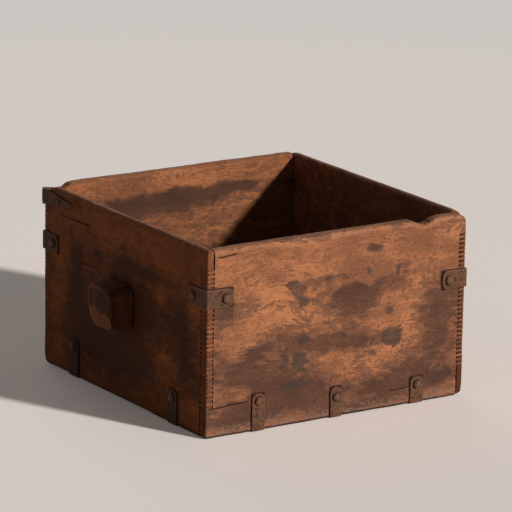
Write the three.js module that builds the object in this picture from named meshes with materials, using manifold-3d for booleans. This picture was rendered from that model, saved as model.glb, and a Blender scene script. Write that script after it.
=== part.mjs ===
// Square wooden grain measure with comb-jointed corners, iron straps and a block handle on each side.
// Millimetres, +Z up. The origin is on the ground, below the middle of the box. The front wall faces -Y.

import * as THREE from 'three';
import * as BufferGeometryUtils from 'three/addons/utils/BufferGeometryUtils.js';
import Module from 'manifold-3d';

const wasm = await Module();
wasm.setup();

// Box
const INNER_LENGTH = 308; // clear inside, left to right
const INNER_BREADTH = 308; // clear inside, front to back
const WALL_HEIGHT = 200; // from the ground to the rim
const FRONT_THICK = 11; // front and back walls
const SIDE_THICK = 7; // left and right walls
const JOINT_GAP = 0.3; // left between pieces that touch

// Comb joints: each wall runs through whole at the foot of its left end and at the top of its right end
const FINGERS = 60; // in one corner, of both walls together, an even number
const LOW_BLOCK = 34; // uncut wood below the fingers
const TOP_BLOCK = 22; // uncut wood above the fingers

// Worn outer corners of each wall, as the two radii of a quarter ellipse
const WORN_TOP = { // at the right end of the rim, where the back wall's is broken instead
  front: { along: 9, down: 9 },
  right: { along: 16, down: 4 },
  left: { along: 5, down: 4 },
};
const WORN_LOW = { // at the left end of the foot
  front: { along: 4, down: 4 },
  right: { along: 6, down: 11 },
  back: { along: 8, down: 8 },
  left: { along: 9, down: 9 },
};
const WORN_STEPS = 5;

// The back wall's broken corner at the right end of its rim: distances from the end, and from the rim down
const BROKEN_CORNER = [[0, 4.8], [3, 5.6], [11.5, 6.8], [19, 5.5], [25.5, 1.7], [29, 0.7], [37, 0]];

// The chip broken out of the front rim
const CHIP_FROM_END = 72.5; // from the wall's right end to where the chip starts
const CHIP_LENGTH = 42;
const CHIP_DEPTH = 6.2;
const CHIP_PROFILE = [[0, 0], [0.08, 0.16], [0.37, 1], [0.6, 0.78], [0.76, 0.2], [1, 0]]; // shares of both

// Floor: two planks that run left to right and meet in a half lap
const FLOOR_THICK = 8;
const FLOOR_LAP = 8; // width of the half lap
const FLOOR_SEAM = 0; // middle of the lap, towards the back from the middle of the box

// Handle blocks
const HANDLE_LENGTH = 27; // out from the wall
const HANDLE_WIDTH = 52; // front to back, at the wall
const HANDLE_TALL = 50; // at the wall
const HANDLE_NARROWING = 4; // of the width, from the wall to the outer end
const HANDLE_LOWERING = 5; // of the height, from the wall to the outer end
const HANDLE_CHAMFER = { along: 9, down: 7 };
const HANDLE_HEIGHT = 103.5; // of the block's middle above the ground
const HANDLE_SETBACK = 4; // towards the back, from the middle of the wall

// Straps
const STRAP_THICK = 1.8;
const STRAP_BEND = 0.4; // inside radius where a strap turns a corner of the box
const STRAP_BEND_STEPS = 4;
const CORNER_STRAP_TALL = 20;
const CORNER_STRAP_ROUND = 7; // radius of the corners at each end
const BOTTOM_STRAP_ROUND = 6; // radius of the corners at the top
const BOTTOM_STRAP_FOOT = 42; // length under the box, from the wall's outer face
const ROUND_STEPS = 4;

// Corner straps: drop of the middle below the rim, and each leg's length from the corner and its rivet's
// distance from the leg's end. The right leg is on the wall that has this corner at its left end.
const CORNER_STRAPS = {
  front_left: { drop: 52, rightLeg: 30, rightInset: 8.2, leftLeg: 34, leftInset: 9.7 },
  front_right: { drop: 70.3, rightLeg: 30, rightInset: 10, leftLeg: 30, leftInset: 8.6 },
  back_right: { drop: 61, rightLeg: 30, rightInset: 10, leftLeg: 30, leftInset: 10 },
  back_left: { drop: 62, rightLeg: 31, rightInset: 10.7, leftLeg: 28, leftInset: 11 },
};

// Bottom straps, numbered along each wall: the end of the wall that each is measured from (-1 left, 0 middle,
// 1 right), the distance from there to its middle, its width, its top above the ground, and from there down to
// its nail
const BOTTOM_STRAPS = {
  front_1: { end: -1, distance: 63, width: 15.3, top: 40.4, nailDrop: 7.4 },
  front_2: { end: 0, distance: -1.4, width: 13.9, top: 33.3, nailDrop: 10.9 },
  front_3: { end: 1, distance: 59.9, width: 16.2, top: 29.5, nailDrop: 8.3 },
  right_1: { end: -1, distance: 62, width: 17, top: 37, nailDrop: 8 },
  right_2: { end: 1, distance: 61, width: 17, top: 36, nailDrop: 8.5 },
  back_1: { end: -1, distance: 61, width: 16, top: 36, nailDrop: 8 },
  back_2: { end: 0, distance: 2, width: 15, top: 34, nailDrop: 9 },
  back_3: { end: 1, distance: 63, width: 16, top: 37, nailDrop: 8 },
  left_1: { end: -1, distance: 65.5, width: 18, top: 40.5, nailDrop: 6.5 },
  left_2: { end: 1, distance: 63, width: 17, top: 37.5, nailDrop: 8 },
};
const FOOT_NAIL_INSET = 9; // from the end of the foot to the nail's centre

// Nails and rivets
const CORNER_RIVET = { headRadius: 5.4, headHeight: 3, shankRadius: 1.8 };
const BOTTOM_NAIL = { headRadius: 5, headHeight: 2.8, shankRadius: 1.7 };
const HANDLE_NAIL = { headRadius: 4.5, headHeight: 1.2, shankRadius: 1.9 };
const PATCH_TACK = { headRadius: 3, headHeight: 1.4, shankRadius: 1.1 };
const FOOT_NAIL = { headRadius: 3.6, shankRadius: 1.7 };
const NAIL_SHORT = 1; // a nail stops this far short of the far side of the wood
const HANDLE_NAIL_DEPTH = 20; // into the block
const HANDLE_NAIL_SPACING = 22;
const NAIL_SIDES = 12;
const DOME_STEPS = 3;

// Sheet-iron patch bent round the back left corner
const PATCH_THICK = 1.5;
const PATCH_STAND_OFF = 1.1; // it no longer lies tight on the wood
const PATCH_DROP = 4.4; // from the rim to the patch's top at the corner
const PATCH_TALL = 19; // at the corner
const PATCH_TIP_DROP = 10.8; // from the rim to the top of each tip
const PATCH_TIP_TALL = 2.2;
const PATCH_LEGS = { left: 60.5, back: 44 };
const PATCH_TACK_INSET = 26; // from a leg's tip to its tack

// Places worked out from the sizes above
const QUARTER = Math.PI / 2;
const FOOT_ROOM = STRAP_THICK + JOINT_GAP; // height over the straps' feet: under the floor and in the walls' notches
const STRAP_OUTER = JOINT_GAP + STRAP_THICK; // from the wood to a strap's outer face
const PATCH_OUTER = PATCH_STAND_OFF + PATCH_THICK;
const OUTER_LENGTH = INNER_LENGTH + 2 * SIDE_THICK;
const OUTER_BREADTH = INNER_BREADTH + 2 * FRONT_THICK;
const FINGER = (WALL_HEIGHT - LOW_BLOCK - TOP_BLOCK) / FINGERS;

// The walls in turn round the box. Each is drawn as seen from outside, x to its right and -Y outwards, and
// turned into place. "next" is the thickness of the walls at its ends, "half" the box's half depth across it.
const frontSize = { length: OUTER_LENGTH, thick: FRONT_THICK, next: SIDE_THICK, half: OUTER_BREADTH / 2 };
const sideSize = { length: OUTER_BREADTH, thick: SIDE_THICK, next: FRONT_THICK, half: OUTER_LENGTH / 2 };
const WALLS = { front: frontSize, right: sideSize, back: frontSize, left: sideSize };

// Materials
const darkWood = new THREE.MeshStandardMaterial({ color: 0x5a3520, roughness: 0.75, metalness: 0 });
const handleWood = new THREE.MeshStandardMaterial({ color: 0x6b4128, roughness: 0.8, metalness: 0 });
const floorWood = new THREE.MeshStandardMaterial({ color: 0x7a5233, roughness: 0.85, metalness: 0 });
const strapIron = new THREE.MeshStandardMaterial({ color: 0x4a3426, roughness: 0.6, metalness: 0.6 });
const nailIron = new THREE.MeshStandardMaterial({ color: 0x5c4330, roughness: 0.5, metalness: 0.7 });

// The whole measure, with a group for what is on each wall
const measure = new THREE.Group();
const sides = {};
Object.keys(WALLS).forEach((side, turn) => {
  sides[side] = new THREE.Group();
  sides[side].rotation.z = turn * QUARTER;
  measure.add(sides[side]);
});

function addPiece(parent, name, geometry, material) {
  const mesh = new THREE.Mesh(geometry, material);
  mesh.name = name;
  parent.add(mesh);
  return mesh;
}

// Solids

const MERGE_DISTANCE = 1e-4;

function toSolid(geometry) {
  const bare = geometry.clone();
  bare.deleteAttribute('normal');
  bare.deleteAttribute('uv');
  const merged = BufferGeometryUtils.mergeVertices(bare, MERGE_DISTANCE);
  return new wasm.Manifold(new wasm.Mesh({
    numProp: 3,
    vertProperties: new Float32Array(merged.attributes.position.array),
    triVerts: new Uint32Array(merged.index.array),
  }));
}

function toGeometry(solid) {
  const mesh = solid.getMesh();
  const geometry = new THREE.BufferGeometry();
  geometry.setAttribute('position', new THREE.BufferAttribute(mesh.vertProperties, 3));
  geometry.setIndex(new THREE.BufferAttribute(mesh.triVerts, 1));
  geometry.computeVertexNormals();
  return geometry;
}

// An outline in x and y, made solid from z = 0 to z = depth
function extrude(points, depth) {
  const shape = new THREE.Shape(points.map(([x, y]) => new THREE.Vector2(x, y)));
  return new THREE.ExtrudeGeometry(shape, { depth, bevelEnabled: false, steps: 1 });
}

// An upright outline, x along a wall and y up, made solid from y = 0 outwards to y = -thick
function slab(points, thick) {
  return extrude(points, thick).rotateX(QUARTER);
}

// A round bar along Y from y = low to y = high, tapered if it has two radii
function bar(low, high, lowRadius, highRadius = lowRadius) {
  const length = high - low;
  const cylinder = new THREE.CylinderGeometry(highRadius, lowRadius, length, NAIL_SIDES);
  return cylinder.translate(0, low + length / 2, 0);
}

// Points on part of an ellipse about (x, y), from one angle to another in quarters of a turn
function arc(x, y, radiusX, radiusY, from, to, steps) {
  const points = [];
  for (let i = 0; i <= steps; i += 1) {
    const angle = (from + ((to - from) * i) / steps) * QUARTER;
    points.push([x + radiusX * Math.cos(angle), y + radiusY * Math.sin(angle)]);
  }
  return points;
}

// Nails and rivets

const hole = (nail) => nail.shankRadius + JOINT_GAP;

// A low domed head that points to -Y with its underside at y = 0, and a round shank
function domedNail({ headRadius, headHeight, shankRadius }, shankLength) {
  const dome = arc(0, 0, headRadius, headHeight, -1, 0, DOME_STEPS);
  const shank = [[shankRadius, 0], [shankRadius, shankLength], [0, shankLength]];
  const profile = [...dome, ...shank].map(([radius, y]) => new THREE.Vector2(Math.max(radius, 0), y));
  profile[0].x = 0;
  return new THREE.LatheGeometry(profile, NAIL_SIDES);
}

// A nail with a cone for a head, to sink flush into a strap: the head's face is at y = 0
function sunkNail({ headRadius, shankRadius }, length) {
  const profile = [[0, 0], [headRadius, 0], [shankRadius, STRAP_THICK], [shankRadius, length], [0, length]];
  return new THREE.LatheGeometry(profile.map(([radius, y]) => new THREE.Vector2(radius, y)), NAIL_SIDES);
}

// Where the walls and the floor are bored for nails, filled in as the nails are set
const wallHoles = { front: [], right: [], back: [], left: [] };
const floorHoles = [];

// Where the walls are notched at the foot for the bottom straps, filled in as the straps are bent
const wallNotches = { front: [], right: [], back: [], left: [] };

// A nail driven from outside through a plate and into the wall behind it
function addWallNail(side, name, nail, along, height, plateOuter) {
  const wall = WALLS[side];
  const shank = JOINT_GAP + plateOuter + wall.thick - NAIL_SHORT;
  const mesh = addPiece(sides[side], name, domedNail(nail, shank), nailIron);
  mesh.position.set(along, -wall.half - plateOuter - JOINT_GAP, height);
  wallHoles[side].push({ along, height, radius: hole(nail) });
}

// Straps

// Cuts one leg of a strap to length, with rounded corners: a plate along +X, deep enough for both legs
function legTrim(length, width, round, reach) {
  const half = width / 2;
  const end = round > 0
    ? [
      ...arc(length - round, round - half, round, round, -1, 0, ROUND_STEPS),
      ...arc(length - round, half - round, round, round, 0, 1, ROUND_STEPS),
    ]
    : [[length, -half], [length, half]];
  return slab([[-reach, -half], ...end, [-reach, half]], 2 * reach).translate(0, reach, 0);
}

// A strap bent round a corner. In its own frame the wood of the corner fills x > 0 and y > 0, one leg runs
// along +X and the other along +Y, and the strap's width is along Z, centred. A bore is a bar along Y that
// passes through a plate whose outer face is towards -Y.
function bentStrap(width, legX, legY) {
  const inner = -JOINT_GAP;
  const outer = -STRAP_OUTER;
  const centre = inner + STRAP_BEND;
  const outerBend = STRAP_BEND + STRAP_THICK;
  const reach = legX.length + legY.length;
  const section = [
    [legX.length, outer],
    [legX.length, inner],
    ...arc(centre, centre, STRAP_BEND, STRAP_BEND, -1, -2, STRAP_BEND_STEPS),
    [inner, legY.length],
    [outer, legY.length],
    ...arc(centre, centre, outerBend, outerBend, -2, -1, STRAP_BEND_STEPS),
  ];
  const bent = toSolid(extrude(section, width).translate(0, 0, -width / 2));
  const trimX = toSolid(legTrim(legX.length, width, legX.round, reach));
  const trimY = toSolid(legTrim(legY.length, width, legY.round, reach).rotateZ(QUARTER));
  const boreX = toSolid(legX.bore.translate(legX.nailAt, 0, 0));
  const boreY = toSolid(legY.bore.rotateZ(-QUARTER).translate(0, legY.nailAt, 0));
  return toGeometry(bent.intersect(trimX).intersect(trimY).subtract(boreX).subtract(boreY));
}

const straightBore = (nail) => bar(-STRAP_OUTER - JOINT_GAP, JOINT_GAP, hole(nail));

// The bore for a sunk head is a cone of the head's own slope, all round the head by the gap
function sunkBore(nail) {
  const slope = (nail.headRadius - nail.shankRadius) / STRAP_THICK;
  const mouth = nail.headRadius + JOINT_GAP * (1 + slope);
  return bar(-STRAP_OUTER - JOINT_GAP, -JOINT_GAP, mouth, hole(nail));
}

// Corner straps: each is drawn on the wall that has the corner at its left end, and turns on to the one before
function addCornerStrap(corner, rightSide, leftSide) {
  const { drop, rightLeg, rightInset, leftLeg, leftInset } = CORNER_STRAPS[corner];
  const rightWall = WALLS[rightSide];
  const leftWall = WALLS[leftSide];
  const height = WALL_HEIGHT - drop;
  const rightNail = rightLeg - rightInset;
  const leftNail = leftLeg - leftInset;
  const round = CORNER_STRAP_ROUND;
  const geometry = bentStrap(
    CORNER_STRAP_TALL,
    { length: rightLeg, round, nailAt: rightNail, bore: straightBore(CORNER_RIVET) },
    { length: leftLeg, round, nailAt: leftNail, bore: straightBore(CORNER_RIVET) },
  );
  const strap = addPiece(sides[rightSide], `${corner}_strap`, geometry, strapIron);
  strap.position.set(-rightWall.length / 2, -rightWall.half, height);
  const rightPlace = rightNail - rightWall.length / 2;
  const leftPlace = leftWall.length / 2 - leftNail;
  addWallNail(rightSide, `${corner}_rivet_${rightSide}`, CORNER_RIVET, rightPlace, height, STRAP_OUTER);
  addWallNail(leftSide, `${corner}_rivet_${leftSide}`, CORNER_RIVET, leftPlace, height, STRAP_OUTER);
}

addCornerStrap('front_left', 'front', 'left');
addCornerStrap('front_right', 'right', 'front');
addCornerStrap('back_right', 'back', 'right');
addCornerStrap('back_left', 'left', 'back');

// Bottom straps: one leg up the wall, and a foot let in under it and under the floor, level with the ground
function addBottomStrap(side, number, { end, distance, width, top, nailDrop }) {
  const wall = WALLS[side];
  const place = end === 0 ? distance : end * (wall.length / 2 - distance);
  const rise = top - FOOT_ROOM;
  const footNail = BOTTOM_STRAP_FOOT - FOOT_NAIL_INSET;
  const geometry = bentStrap(
    width,
    { length: rise, round: BOTTOM_STRAP_ROUND, nailAt: rise - nailDrop, bore: straightBore(BOTTOM_NAIL) },
    { length: BOTTOM_STRAP_FOOT, round: 0, nailAt: footNail, bore: sunkBore(FOOT_NAIL) },
  );
  const strap = addPiece(sides[side], `${side}_bottom_strap_${number}`, geometry, strapIron);
  const up = new THREE.Vector3(0, 0, 1);
  const inwards = new THREE.Vector3(0, 1, 0);
  const across = new THREE.Vector3().crossVectors(up, inwards);
  strap.quaternion.setFromRotationMatrix(new THREE.Matrix4().makeBasis(up, inwards, across));
  strap.position.set(place, -wall.half, FOOT_ROOM);
  wallNotches[side].push({ place, width: width + 2 * JOINT_GAP });
  addWallNail(side, `${side}_bottom_nail_${number}`, BOTTOM_NAIL, place, top - nailDrop, STRAP_OUTER);

  const footNailLength = FOOT_ROOM + FLOOR_THICK - NAIL_SHORT;
  const nail = addPiece(sides[side], `${side}_foot_nail_${number}`, sunkNail(FOOT_NAIL, footNailLength), nailIron);
  nail.rotation.x = QUARTER;
  nail.position.set(place, -wall.half + footNail, 0);
  floorHoles.push(nail.position.clone().applyEuler(sides[side].rotation));
}

for (const [name, strap] of Object.entries(BOTTOM_STRAPS)) {
  const [side, number] = name.split('_');
  addBottomStrap(side, number, strap);
}

// Corner patch: two three-cornered plates joined at the back left corner, in the frame of the left wall
function addCornerPatch() {
  const top = WALL_HEIGHT - PATCH_DROP;
  const tip = WALL_HEIGHT - PATCH_TIP_DROP;
  const leg = (length, away) => slab([
    [-away * PATCH_OUTER, top - PATCH_TALL],
    [away * length, tip - PATCH_TIP_TALL],
    [away * length, tip],
    [-away * PATCH_OUTER, top],
  ], PATCH_THICK).translate(0, -PATCH_STAND_OFF, 0);
  const tackHeight = (length) => {
    const share = 1 - PATCH_TACK_INSET / length;
    const middle = top - PATCH_TALL / 2;
    return middle + (tip - PATCH_TIP_TALL / 2 - middle) * share;
  };
  const bore = () => bar(-PATCH_OUTER - JOINT_GAP, 0, hole(PATCH_TACK));
  const tackLeft = PATCH_LEGS.left - PATCH_TACK_INSET;
  const tackBack = PATCH_LEGS.back - PATCH_TACK_INSET;
  const heightLeft = tackHeight(PATCH_LEGS.left);
  const heightBack = tackHeight(PATCH_LEGS.back);
  const onLeft = toSolid(leg(PATCH_LEGS.left, 1));
  const onBack = toSolid(leg(PATCH_LEGS.back, -1).rotateZ(-QUARTER));
  const boreLeft = toSolid(bore().translate(tackLeft, 0, heightLeft));
  const boreBack = toSolid(bore().rotateZ(-QUARTER).translate(0, tackBack, heightBack));
  const patch = onLeft.add(onBack).subtract(boreLeft).subtract(boreBack);
  const mesh = addPiece(sides.left, 'corner_patch', toGeometry(patch), strapIron);
  mesh.position.set(-WALLS.left.length / 2, -WALLS.left.half, 0);
  const placeLeft = tackLeft - WALLS.left.length / 2;
  const placeBack = WALLS.back.length / 2 - tackBack;
  addWallNail('left', 'corner_patch_tack_left', PATCH_TACK, placeLeft, heightLeft, PATCH_OUTER);
  addWallNail('back', 'corner_patch_tack_back', PATCH_TACK, placeBack, heightBack, PATCH_OUTER);
}

addCornerPatch();

// Handles: a tapered block with chamfered edges on each side wall, nailed from inside

function handleBlock() {
  const x = HANDLE_WIDTH / 2;
  const z = HANDLE_TALL / 2;
  const flatX = x - HANDLE_CHAMFER.along;
  const flatZ = z - HANDLE_CHAMFER.down;
  const octagon = [
    [x, -flatZ], [x, flatZ], [flatX, z], [-flatX, z],
    [-x, flatZ], [-x, -flatZ], [-flatX, -z], [flatX, -z],
  ];
  const block = slab(octagon, HANDLE_LENGTH);
  const position = block.attributes.position;
  for (let i = 0; i < position.count; i += 1) {
    const out = -position.getY(i) / HANDLE_LENGTH;
    position.setX(i, position.getX(i) * (1 - (out * HANDLE_NARROWING) / HANDLE_WIDTH));
    position.setZ(i, position.getZ(i) * (1 - (out * HANDLE_LOWERING) / HANDLE_TALL));
  }
  return toSolid(block);
}

function addHandle(side, along) {
  const wall = WALLS[side];
  const shank = 2 * JOINT_GAP + wall.thick + HANDLE_NAIL_DEPTH;
  let block = handleBlock();
  [-0.5, 0.5].forEach((share, index) => {
    const offset = share * HANDLE_NAIL_SPACING;
    const height = HANDLE_HEIGHT + offset;
    const bore = bar(-HANDLE_NAIL_DEPTH - JOINT_GAP, JOINT_GAP, hole(HANDLE_NAIL));
    block = block.subtract(toSolid(bore.translate(0, 0, offset)));
    const name = `${side}_handle_nail_${index + 1}`;
    const nail = addPiece(sides[side], name, domedNail(HANDLE_NAIL, shank), nailIron);
    nail.rotation.z = 2 * QUARTER;
    nail.position.set(along, -wall.half + wall.thick + JOINT_GAP, height);
    wallHoles[side].push({ along, height, radius: hole(HANDLE_NAIL) });
  });
  const handle = addPiece(sides[side], `${side}_handle`, toGeometry(block), handleWood);
  handle.position.set(along, -wall.half - JOINT_GAP, HANDLE_HEIGHT);
}

addHandle('left', -HANDLE_SETBACK);
addHandle('right', HANDLE_SETBACK);

// Walls

// The heights over which a wall reaches out to the corner, from the foot up, as [low, high]
function spansAtEnd(leftEnd) {
  const fingers = [];
  for (let k = leftEnd ? 1 : 0; k < FINGERS; k += 2) {
    const low = LOW_BLOCK + k * FINGER;
    fingers.push([low + JOINT_GAP / 2, low + FINGER - JOINT_GAP / 2]);
  }
  const foot = [0, LOW_BLOCK - JOINT_GAP / 2];
  const top = [WALL_HEIGHT - TOP_BLOCK + JOINT_GAP / 2, WALL_HEIGHT];
  return leftEnd ? [foot, ...fingers] : [...fingers, top];
}

// Outline of a wall seen from outside, anticlockwise from the foot of its left end
function wallOutline(side) {
  const { length, next } = WALLS[side];
  const end = length / 2;
  const root = end - next - JOINT_GAP;
  const top = WORN_TOP[side];
  const low = WORN_LOW[side];
  const foot = arc(low.along - end, low.down, low.along, low.down, -2, -1, WORN_STEPS);
  const corner = side === 'back'
    ? BROKEN_CORNER.map(([along, down]) => [end - along, WALL_HEIGHT - down])
    : arc(end - top.along, WALL_HEIGHT - top.down, top.along, top.down, 0, 1, WORN_STEPS);
  const rightComb = spansAtEnd(false).flatMap(([from, to]) => (
    to < WALL_HEIGHT ? [[root, from], [end, from], [end, to], [root, to]] : [[root, from], [end, from]]
  ));
  const leftComb = spansAtEnd(true).reverse().flatMap(([from, to]) => (
    from > 0 ? [[-root, to], [-end, to], [-end, from], [-root, from]] : [[-root, to], [-end, to]]
  ));
  const chip = side === 'front'
    ? CHIP_PROFILE.map(([along, down]) => (
      [end - CHIP_FROM_END + along * CHIP_LENGTH, WALL_HEIGHT - down * CHIP_DEPTH]
    )).reverse()
    : [];
  return [...foot, [root, 0], ...rightComb, ...corner, ...chip, [-root, WALL_HEIGHT], ...leftComb];
}

function addWall(side) {
  const wall = WALLS[side];
  let board = toSolid(slab(wallOutline(side), wall.thick));
  for (const { along, height, radius } of wallHoles[side]) {
    const bore = bar(-wall.thick - JOINT_GAP, JOINT_GAP, radius);
    board = board.subtract(toSolid(bore.translate(along, 0, height)));
  }
  for (const { place, width } of wallNotches[side]) {
    const notch = new THREE.BoxGeometry(width, wall.thick + 2 * JOINT_GAP, 2 * FOOT_ROOM);
    board = board.subtract(toSolid(notch.translate(place, -wall.thick / 2, 0)));
  }
  const mesh = addPiece(sides[side], `${side}_board`, toGeometry(board), darkWood);
  mesh.position.set(0, -wall.half + wall.thick, 0);
}

Object.keys(WALLS).forEach(addWall);

// Floor planks, each drawn as its section from front to back
function addPlank(name, section) {
  const length = INNER_LENGTH - 2 * JOINT_GAP;
  let plank = toSolid(slab(section, length).translate(0, length / 2, 0).rotateZ(QUARTER));
  for (const { x, y } of floorHoles) {
    const bore = bar(-JOINT_GAP, FLOOR_THICK + JOINT_GAP, hole(FOOT_NAIL)).rotateX(QUARTER);
    plank = plank.subtract(toSolid(bore.translate(x, y, 0)));
  }
  addPiece(measure, name, toGeometry(plank), floorWood).position.z = FOOT_ROOM;
}

const edge = INNER_BREADTH / 2 - JOINT_GAP;
const halfGap = JOINT_GAP / 2;
const lapMiddle = FLOOR_THICK / 2;
const lapFront = FLOOR_SEAM - FLOOR_LAP / 2;
const lapBack = FLOOR_SEAM + FLOOR_LAP / 2;
addPlank('bottom_board_front', [
  [-edge, 0], [lapBack - halfGap, 0], [lapBack - halfGap, lapMiddle - halfGap],
  [lapFront - halfGap, lapMiddle - halfGap], [lapFront - halfGap, FLOOR_THICK], [-edge, FLOOR_THICK],
]);
addPlank('bottom_board_back', [
  [lapBack + halfGap, 0], [edge, 0], [edge, FLOOR_THICK],
  [lapFront + halfGap, FLOOR_THICK], [lapFront + halfGap, lapMiddle + halfGap],
  [lapBack + halfGap, lapMiddle + halfGap],
]);

export default measure;
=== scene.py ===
"""The looks of an old square grain measure: comb-jointed softwood, iron straps, rivets and grip blocks."""

import math
from collections import namedtuple
from functools import partial, reduce
from types import SimpleNamespace

import bpy
import numpy as np
from bpy.props import FloatProperty, FloatVectorProperty, PointerProperty
from mathutils import Matrix, Vector


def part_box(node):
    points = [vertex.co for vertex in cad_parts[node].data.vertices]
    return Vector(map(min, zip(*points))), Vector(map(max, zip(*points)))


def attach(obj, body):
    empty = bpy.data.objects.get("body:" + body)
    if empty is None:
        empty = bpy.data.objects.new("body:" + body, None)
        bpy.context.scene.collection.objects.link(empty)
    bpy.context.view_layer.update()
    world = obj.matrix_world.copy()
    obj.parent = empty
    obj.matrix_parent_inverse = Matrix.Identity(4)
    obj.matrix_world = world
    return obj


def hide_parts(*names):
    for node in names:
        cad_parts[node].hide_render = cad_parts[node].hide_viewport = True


bl_info = {
    "name": "Grain measure",
    "version": (1, 0, 0),
    "blender": (4, 5, 0),
    "location": "3D View > Sidebar > Measure",
    "description": "Builds the boards, ironwork and studio of a square wooden grain measure",
    "category": "Object",
}

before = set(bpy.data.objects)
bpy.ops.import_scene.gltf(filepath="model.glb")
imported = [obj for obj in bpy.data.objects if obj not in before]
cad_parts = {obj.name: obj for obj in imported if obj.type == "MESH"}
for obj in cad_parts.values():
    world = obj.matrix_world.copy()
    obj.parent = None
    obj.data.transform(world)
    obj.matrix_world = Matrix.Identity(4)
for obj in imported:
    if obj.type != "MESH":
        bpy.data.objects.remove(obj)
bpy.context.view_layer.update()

# Shapes are worked out in millimetres and put into the meshes in metres
MM = 0.001
# Lengths no further apart than this are the same
HAIR = 1e-6
JOINT_GAP = 0.3
SIDES = ("front", "right", "back", "left")
Wall = namedtuple("Wall", "turn half face thick root")


def node_box(node):
    """A CAD node's lowest and highest corners in millimetres."""
    low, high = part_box(node)
    return np.round(np.array(low) / MM, 4), np.round(np.array(high) / MM, 4)


def measure_walls():
    """Each wall's quarter turns from the front, half length, outer face, thickness and comb roots.

    The outer face and the roots are given by their distances from the middle of the measure.
    """
    boxes = {side: node_box(f"{side}_board") for side in SIDES}
    size = {side: np.sort((high - low)[:2]) for side, (low, high) in boxes.items()}
    walls = {}
    for turn, side in enumerate(SIDES):
        thick, length = size[side]
        across = size[SIDES[(turn + 1) % 4]]
        walls[side] = Wall(turn, length / 2, across[1] / 2, thick, length / 2 - across[0] - JOINT_GAP)
    return walls


WALLS = measure_walls()
WALL_HEIGHT = node_box("front_board")[1][2]
FOOT_ROOM = node_box("bottom_board_front")[0][2]

# The comb joints, as in the solids
FINGERS = 60
LOW_BLOCK = 34.0
TOP_BLOCK = 22.0
FINGER = (WALL_HEIGHT - LOW_BLOCK - TOP_BLOCK) / FINGERS

# Worn corners of each wall's outline, as quarter ellipses (along, upright)
WORN_TOP = {"front": (12.5, 11), "right": (16, 4), "back": (0.5, 0.5), "left": (5, 4)}
WORN_LOW = {"front": (4, 4), "right": (6, 11), "back": (8, 8), "left": (9, 9)}

# How much more each rim is worn round towards the outside and the inside, and how pale it is rubbed
OUTER_ROUND = {"front": 3.4, "right": 1.0, "back": 1.0, "left": 2.7}
INNER_ROUND = {"front": 0.8, "right": 2.7, "back": 3.2, "left": 0.7}
RIM_PALE = {"front": 1.0, "right": 0.25, "back": 0.5, "left": 0.6}

# Wood broken out of the rims: places along each wall, and the depths below the rim there
RIM_BREAKS = {
    "front": (
        (88.5, 91.9, 97, 104, 108.7, 113.7, 117.8, 120.4, 124.6, 130.5),
        (0, 1.2, 3.7, 6.3, 6.0, 4.9, 2.8, 1.4, 0.7, 0),
    ),
    "right": ((-165, -157, -150, -140, 150, 165), (3.4, 3.2, 1.9, 0.7, 0.7, 0)),
    "back": ((124, 132, 135.5, 142, 149.5, 158, 161), (0, 0.8, 1.9, 5.6, 6.9, 5.7, 4.9)),
    "left": ((-165, -154, -150, -144), (5, 3, 1.5, 0)),
}

STRAP_THICK = 1.8
STRAP_MIDDLE = JOINT_GAP + STRAP_THICK / 2


# Noise and curves

LATTICE = 97


def value_noise(a, b, cell, seed):
    """Heights from -1 to 1: random values on a square lattice of this cell, eased from point to point."""
    table = np.random.default_rng(seed).uniform(-1, 1, (LATTICE, LATTICE))
    x, y = np.broadcast_arrays(np.asarray(a, float) / cell, np.asarray(b, float) / cell)
    i, j = np.floor(x).astype(int), np.floor(y).astype(int)
    s, t = x - i, y - j
    s, t = s * s * (3 - 2 * s), t * t * (3 - 2 * t)

    def corner(di, dj):
        """The value at a corner of each place's cell."""
        return table[(i + di) % LATTICE, (j + dj) % LATTICE]

    low = corner(0, 0) * (1 - s) + corner(1, 0) * s
    high = corner(0, 1) * (1 - s) + corner(1, 1) * s
    return low * (1 - t) + high * t


def ease(value, start, end):
    """0 at start, 1 at end, with a smooth cubic between."""
    t = np.clip((value - start) / (end - start), 0, 1)
    return t * t * (3 - 2 * t)


def fade(distance, reach):
    """1 at no distance, falling off as exp(-distance / reach)."""
    return np.exp(-distance / reach)


def bell(distance, reach):
    """1 at no distance, falling off as exp(-(distance / reach) squared)."""
    return np.exp(-(distance / reach) ** 2)


def highest(*values):
    """The largest of these values at each place."""
    return reduce(np.maximum, values)


def round_off(distance, radius):
    """How far a rounded arris lies below the flat at this distance from it: a quarter circle."""
    reach = np.clip(radius - distance, 0, radius)
    return radius - np.sqrt(np.maximum(radius ** 2 - reach ** 2, 0))


def spread(start, end, step):
    """Even spacing from start to end, both included, no wider than step."""
    return np.linspace(start, end, max(2, int(math.ceil((end - start) / step)) + 1))


def place(side, u, w, v):
    """Points in the frame: u to the right along a wall seen from outside, w inwards, v up from the ground."""
    wall = WALLS[side]
    x, y = np.asarray(u, float), np.asarray(w, float) - wall.face
    for _ in range(wall.turn):
        x, y = -y, x
    return np.stack(np.broadcast_arrays(x, y, np.asarray(v, float)), axis=-1)


def wall_box(side, node):
    """A node's lowest and highest (u, w, v) on a wall."""
    wall = WALLS[side]
    low, high = node_box(node)
    corners = np.array([[x, y] for x in (low[0], high[0]) for y in (low[1], high[1])])
    for _ in range(wall.turn):
        corners = np.stack([corners[:, 1], -corners[:, 0]], -1)
    corners[:, 1] += wall.face
    return np.append(corners.min(0), low[2]), np.append(corners.max(0), high[2])


# Meshes

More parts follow.
